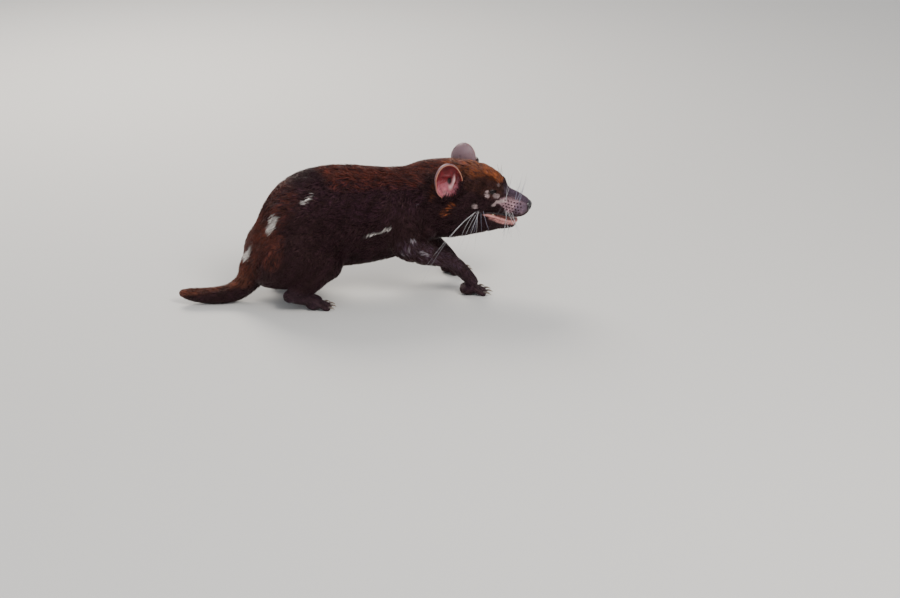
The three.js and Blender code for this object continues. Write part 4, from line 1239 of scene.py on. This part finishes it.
# Which part of the rim bears a fringe: ahead of this, or under this height
FRINGE_AHEAD = 5
FRINGE_UNDER = 9
RIM_HAIR = (0.42, 0.21, 0.13)
BACK_HAIR = (0.10, 0.055, 0.05)
for label, side in SIDES.items():
    ear_draw = np.random.default_rng(EAR_SEEDS[label])
    points, facts, row_count = ear_shape(side)
    share = np.linspace(0, 1, HAIR_STEPS)[:, None]
    shapes, tints = [], []
    for i in ear_draw.integers(len(points), size=EAR_HAIRS):
        turn, depth, back = facts[i]
        if depth > (ear_draw.random() if back else 0.5 * ear_draw.random() ** 2):
            continue
        climb = 1 if cos(turn) > 0 else -1
        along = np.array((0, -climb * sin(turn), climb * cos(turn)))
        lean = RIM_HAIR_LEAN[0] * along + RIM_HAIR_LEAN[1] * np.array((0, cos(turn), sin(turn)))
        lean[0] += -0.2 if back else 0.3
        path = points[i] + share * ear_draw.uniform(*RIM_HAIR_LONG) * lean
        shapes.append(swept(path, RIM_HAIR_THICK * (1 - share[:, 0]) + 0.03, HAIR_AROUND))
        tints.append(np.array(BACK_HAIR if back else RIM_HAIR) * ear_draw.uniform(*RIM_HAIR_TONE))
    rim = points[row_count // 2 * EAR_AROUND:][:EAR_AROUND]
    ahead = -side * rim[:, 1]
    edge = rim[(ahead > FRINGE_AHEAD) | (rim[:, 2] < FRINGE_UNDER)]
    for i in ear_draw.integers(len(edge), size=FRINGE_HAIRS):
        out = edge[i] - (0, 0, EAR_HALF[2])
        out /= np.linalg.norm(out)
        length = ear_draw.uniform(*FRINGE_LONG)
        start = edge[i] + ear_draw.uniform(*FRINGE_OUT) * out - FRINGE_BEHIND
        root = moved(start, ear_frame(label, side))
        if hide_tree.find_nearest(Vector(root))[3] > FRINGE_NEAR:
            continue
        over = np.array((1.0, 0, 0.2)) - 0.5 * out + ear_draw.normal(0, FRINGE_STRAY, 3)
        path = start + share * length * over - share ** 2 * length * FRINGE_FALL
        shapes.append(swept(path, FRINGE_THICK * (1 - share[:, 0]) ** 0.7 + 0.05, HAIR_AROUND))
        tints.append(np.array(BLACK_BROWN) * ear_draw.uniform(*FRINGE_TONE))
    hair_points, triangles = joined(shapes)
    mesh = mesh_of(f"ear_hair_{label}", moved(hair_points, ear_frame(label, side)), triangles)
    paint(mesh, np.repeat(tints, HAIR_STEPS * HAIR_AROUND + 2, axis=0))
    hairs = piece_of(f"ear_hair_{label}", mesh, tuft_finish)
    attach(hairs, "root")

# Claws: curved horn, flat from side to side, dark at the root and worn pale at the tip. One grows out of
# the skin at the end of each toe, and it keeps just clear of the floor.
CLAW_STEPS = 14
CLAW_ARCH = 0.13
CLAW_THICK = 0.2
CLAW_FLAT = 0.72
CLAW_AROUND = 12
# How much of a claw is hidden in the toe, and which share of its solid counts as the root
CLAW_ROOTED = 0.25
CLAW_ROOT_FROM = 0.75
HORN = (0.2, 0.16, 0.13)
HORN_DARK = (0.07, 0.05, 0.045)
HORN_PALE = (0.34, 0.27, 0.21)
claw_finish = plain_finish("horn", HORN, roughness=0.35)
claw_tree = claw_finish.node_tree
claw_tree.links.new(marking_on(claw_tree).outputs["Color"], shader_of(claw_finish).inputs["Base Color"])
for limb, count in (("fore", 5), ("hind", 4)):
    for label in SIDES:
        low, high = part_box(f"{limb}foot_{label}")
        foot_middle = (np.array(low) + np.array(high)) / 2
        for i in range(1, count + 1):
            node = f"claw_{limb}_{label}_{i}"
            solid = points_of(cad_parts[node].data)
            tip = solid[np.linalg.norm(solid - foot_middle, axis=1).argmax()]
            away = np.linalg.norm(solid - tip, axis=1)
            root = solid[away > CLAW_ROOT_FROM * away.max()].mean(axis=0)
            share = np.linspace(-CLAW_ROOTED, 1, CLAW_STEPS)[:, None]
            length = np.linalg.norm(tip - root)
            path = root + share * (tip - root)
            path[:, 2] += (CLAW_ARCH * length * 4 * share * (1 - share))[:, 0]
            radii = CLAW_THICK * length * np.clip(1 - share[:, 0], 0.02, 1) ** 0.7
            path[:, 2] = np.maximum(path[:, 2], radii + FLOOR_CLEAR)
            points, triangles = swept(path, radii, CLAW_AROUND, CLAW_FLAT)
            mesh = mesh_of(f"horn_{limb}_{label}_{i}", points, triangles)
            worn = np.clip(np.repeat(share[:, 0], CLAW_AROUND), 0, 1)
            worn = np.concatenate([worn, (0, 1)])[:, None]
            paint(mesh, (1 - worn) * np.array(HORN_DARK) + worn * np.array(HORN_PALE))
            horn = piece_of(mesh.name, mesh, claw_finish)
            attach(horn, "root")
            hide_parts(node)

# Whiskers: long stiff tapered hairs, pale on the cheek and lip and dark on the muzzle, which start from
# small dark swellings in rows on the muzzle and sweep back and down as the animal pulls away.
WHISKER_STEPS = 14
WHISKER_AROUND = 6
WHISKER_THICK = 0.4
WHISKER_TAPER = 0.8
WHISKER_BEND = 0.1
WHISKER_SEED = 71
# How much the roots stray, in millimetres, and the range of length and tone in a group
WHISKER_STRAY = 0.9
WHISKER_LONG = (0.75, 1.05)
WHISKER_TONE = (0.7, 1.2)
WHISKER_PALE = (0.62, 0.60, 0.62)
WHISKER_BLUE = (0.36, 0.36, 0.46)
WHISKER_DARK = (0.035, 0.025, 0.028)
# For the right side: where the first and last of a group start in the head's frame, the way they point
# in the whole animal's, how long they are, how they sag and spread, how many there are, and their colour
WHISKERS = [
    ((76, -50, -22), (72, -52, -26), (-0.84, -0.08, -0.42), 140, 70, 0.04, 2, WHISKER_PALE),
    ((74, -50, -22), (68, -53, -28), (-0.50, -0.08, -0.70), 84, 26, 0.34, 5, WHISKER_PALE),
    ((80, -48, -28), (72, -51, -34), (-0.10, -0.10, -0.98), 58, 4, 0.24, 4, WHISKER_BLUE),
    ((122, -28, -12), (128, -26, -14), (0.00, -0.30, -0.95), 62, 3, 0.10, 2, WHISKER_PALE),
    ((128, -26, -16), (140, -20, -16), (0.42, -0.28, -0.85), 52, 4, 0.16, 4, WHISKER_PALE),
    ((118, -29, -6), (148, -18, -6), (-0.60, -0.42, -0.30), 44, 8, 0.16, 4, WHISKER_DARK),
    ((116, -30, -15), (146, -18, -18), (-0.45, -0.40, -0.60), 46, 8, 0.2, 5, WHISKER_DARK),
    ((116, -27, 6), (120, -25, 7), (0.10, -0.12, 0.96), 48, -8, 0.10, 2, WHISKER_PALE),
    ((138, -16, 10), (148, -13, 9), (0.30, -0.10, 0.92), 40, -6, 0.16, 4, WHISKER_BLUE),
    ((96, -27, 36), (90, -29, 38), (-0.20, -0.20, 0.92), 30, 3, 0.2, 3, WHISKER_DARK),
    ((136, -18, -53), (146, -12, -51), (-0.10, -0.30, -0.90), 30, 4, 0.25, 4, WHISKER_PALE),
]
# Rows of swellings: each one's height on the head, and whether it is set half a step on
DOT_ROWS = [(6, 0), (0, 1), (-6, 0), (-12, 1), (-18, 0)]
DOT_RUN = (118, 156)
DOT_APART = 6.6
DOT_HALF_WIDTH = 24
DOT_RADIUS = 1.9
DOT_HEIGHTS = np.linspace(-0.6, 1.1, 4)
DOT_SHARES = np.array((1, 1, 0.85, 0.35))
DOT_DARK = 1.2
# A line in towards the face starts this many times as far out as the face is.
FACE_BEYOND = 2.5


def on_face(x, y, z, side):
    """The place on the hide of one side of the head that a line out from its middle passes through."""
    start = in_row(x, side * abs(y) * FACE_BEYOND, z)
    spot, normal = hide_under(start, in_row(x, 0, z) - start)
    return (np.array(in_row(x, side * abs(y), z)), None) if spot is None else (spot, normal)


whisker_draw = np.random.default_rng(WHISKER_SEED)
whisker_shapes, whisker_tints, dot_shapes = [], [], []
turn_of_head = np.array(HEAD_TURN.to_matrix())
for side in SIDES.values():
    for first, last, way, length, sag, spread, count, tint in WHISKERS:
        for i in range(count):
            t = i / max(count - 1, 1)
            root = np.array(first) + t * (np.array(last) - first)
            spot = on_face(*(root + whisker_draw.normal(0, WHISKER_STRAY, 3)), side)[0]
            heading = turn_of_head.T @ (np.array(way) + whisker_draw.normal(0, spread, 3) * (1, 0.5, 1))
            heading = turn_of_head @ (heading * (1, -side, 1) / np.linalg.norm(heading))
            reach = length * whisker_draw.uniform(*WHISKER_LONG) / 1000
            share = np.linspace(0, 1, WHISKER_STEPS)[:, None]
            path = spot + share * reach * heading
            path[:, 2] -= (sag / 1000 * share ** 2)[:, 0]
            path += share ** 2 * whisker_draw.normal(0, WHISKER_BEND * reach, 3) * (1, 0.3, 1)
            radii = WHISKER_THICK / 1000 * (1 - WHISKER_TAPER * share[:, 0])
            shape = swept(path, radii, WHISKER_AROUND)
            whisker_shapes.append(shape)
            tone = np.array(tint) * whisker_draw.uniform(*WHISKER_TONE)
            whisker_tints.append(np.tile(tone, (len(shape[0]), 1)))
    for z, shift in DOT_ROWS:
        for x in np.arange(DOT_RUN[0] + DOT_APART / 2 * shift, DOT_RUN[1], DOT_APART):
            spot, normal = on_face(x, DOT_HALF_WIDTH, z, side)
            if normal is None:
                continue
            rise = spot + np.outer(DOT_HEIGHTS, normal) / 1000
            dot_shapes.append(swept(rise, DOT_RADIUS / 1000 * DOT_SHARES, up=(0.3, 0.9, 0.3)))
points, triangles = joined(whisker_shapes)
mesh = mesh_of("whiskers", points, triangles)
paint(mesh, np.concatenate(whisker_tints))
whisker_finish = skin_finish("whisker_hair", roughness=0.35, bump=0.05)
whiskers = piece_of("whiskers", mesh, whisker_finish)
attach(whiskers, "root")
points, triangles = joined(dot_shapes)
mesh = mesh_of("whisker_roots", points, triangles)
paint(mesh, np.tile(np.array(BLACK_BROWN) * DOT_DARK, (len(points), 1)))
dots = piece_of("whisker_roots", mesh, tuft_finish)
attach(dots, "root")
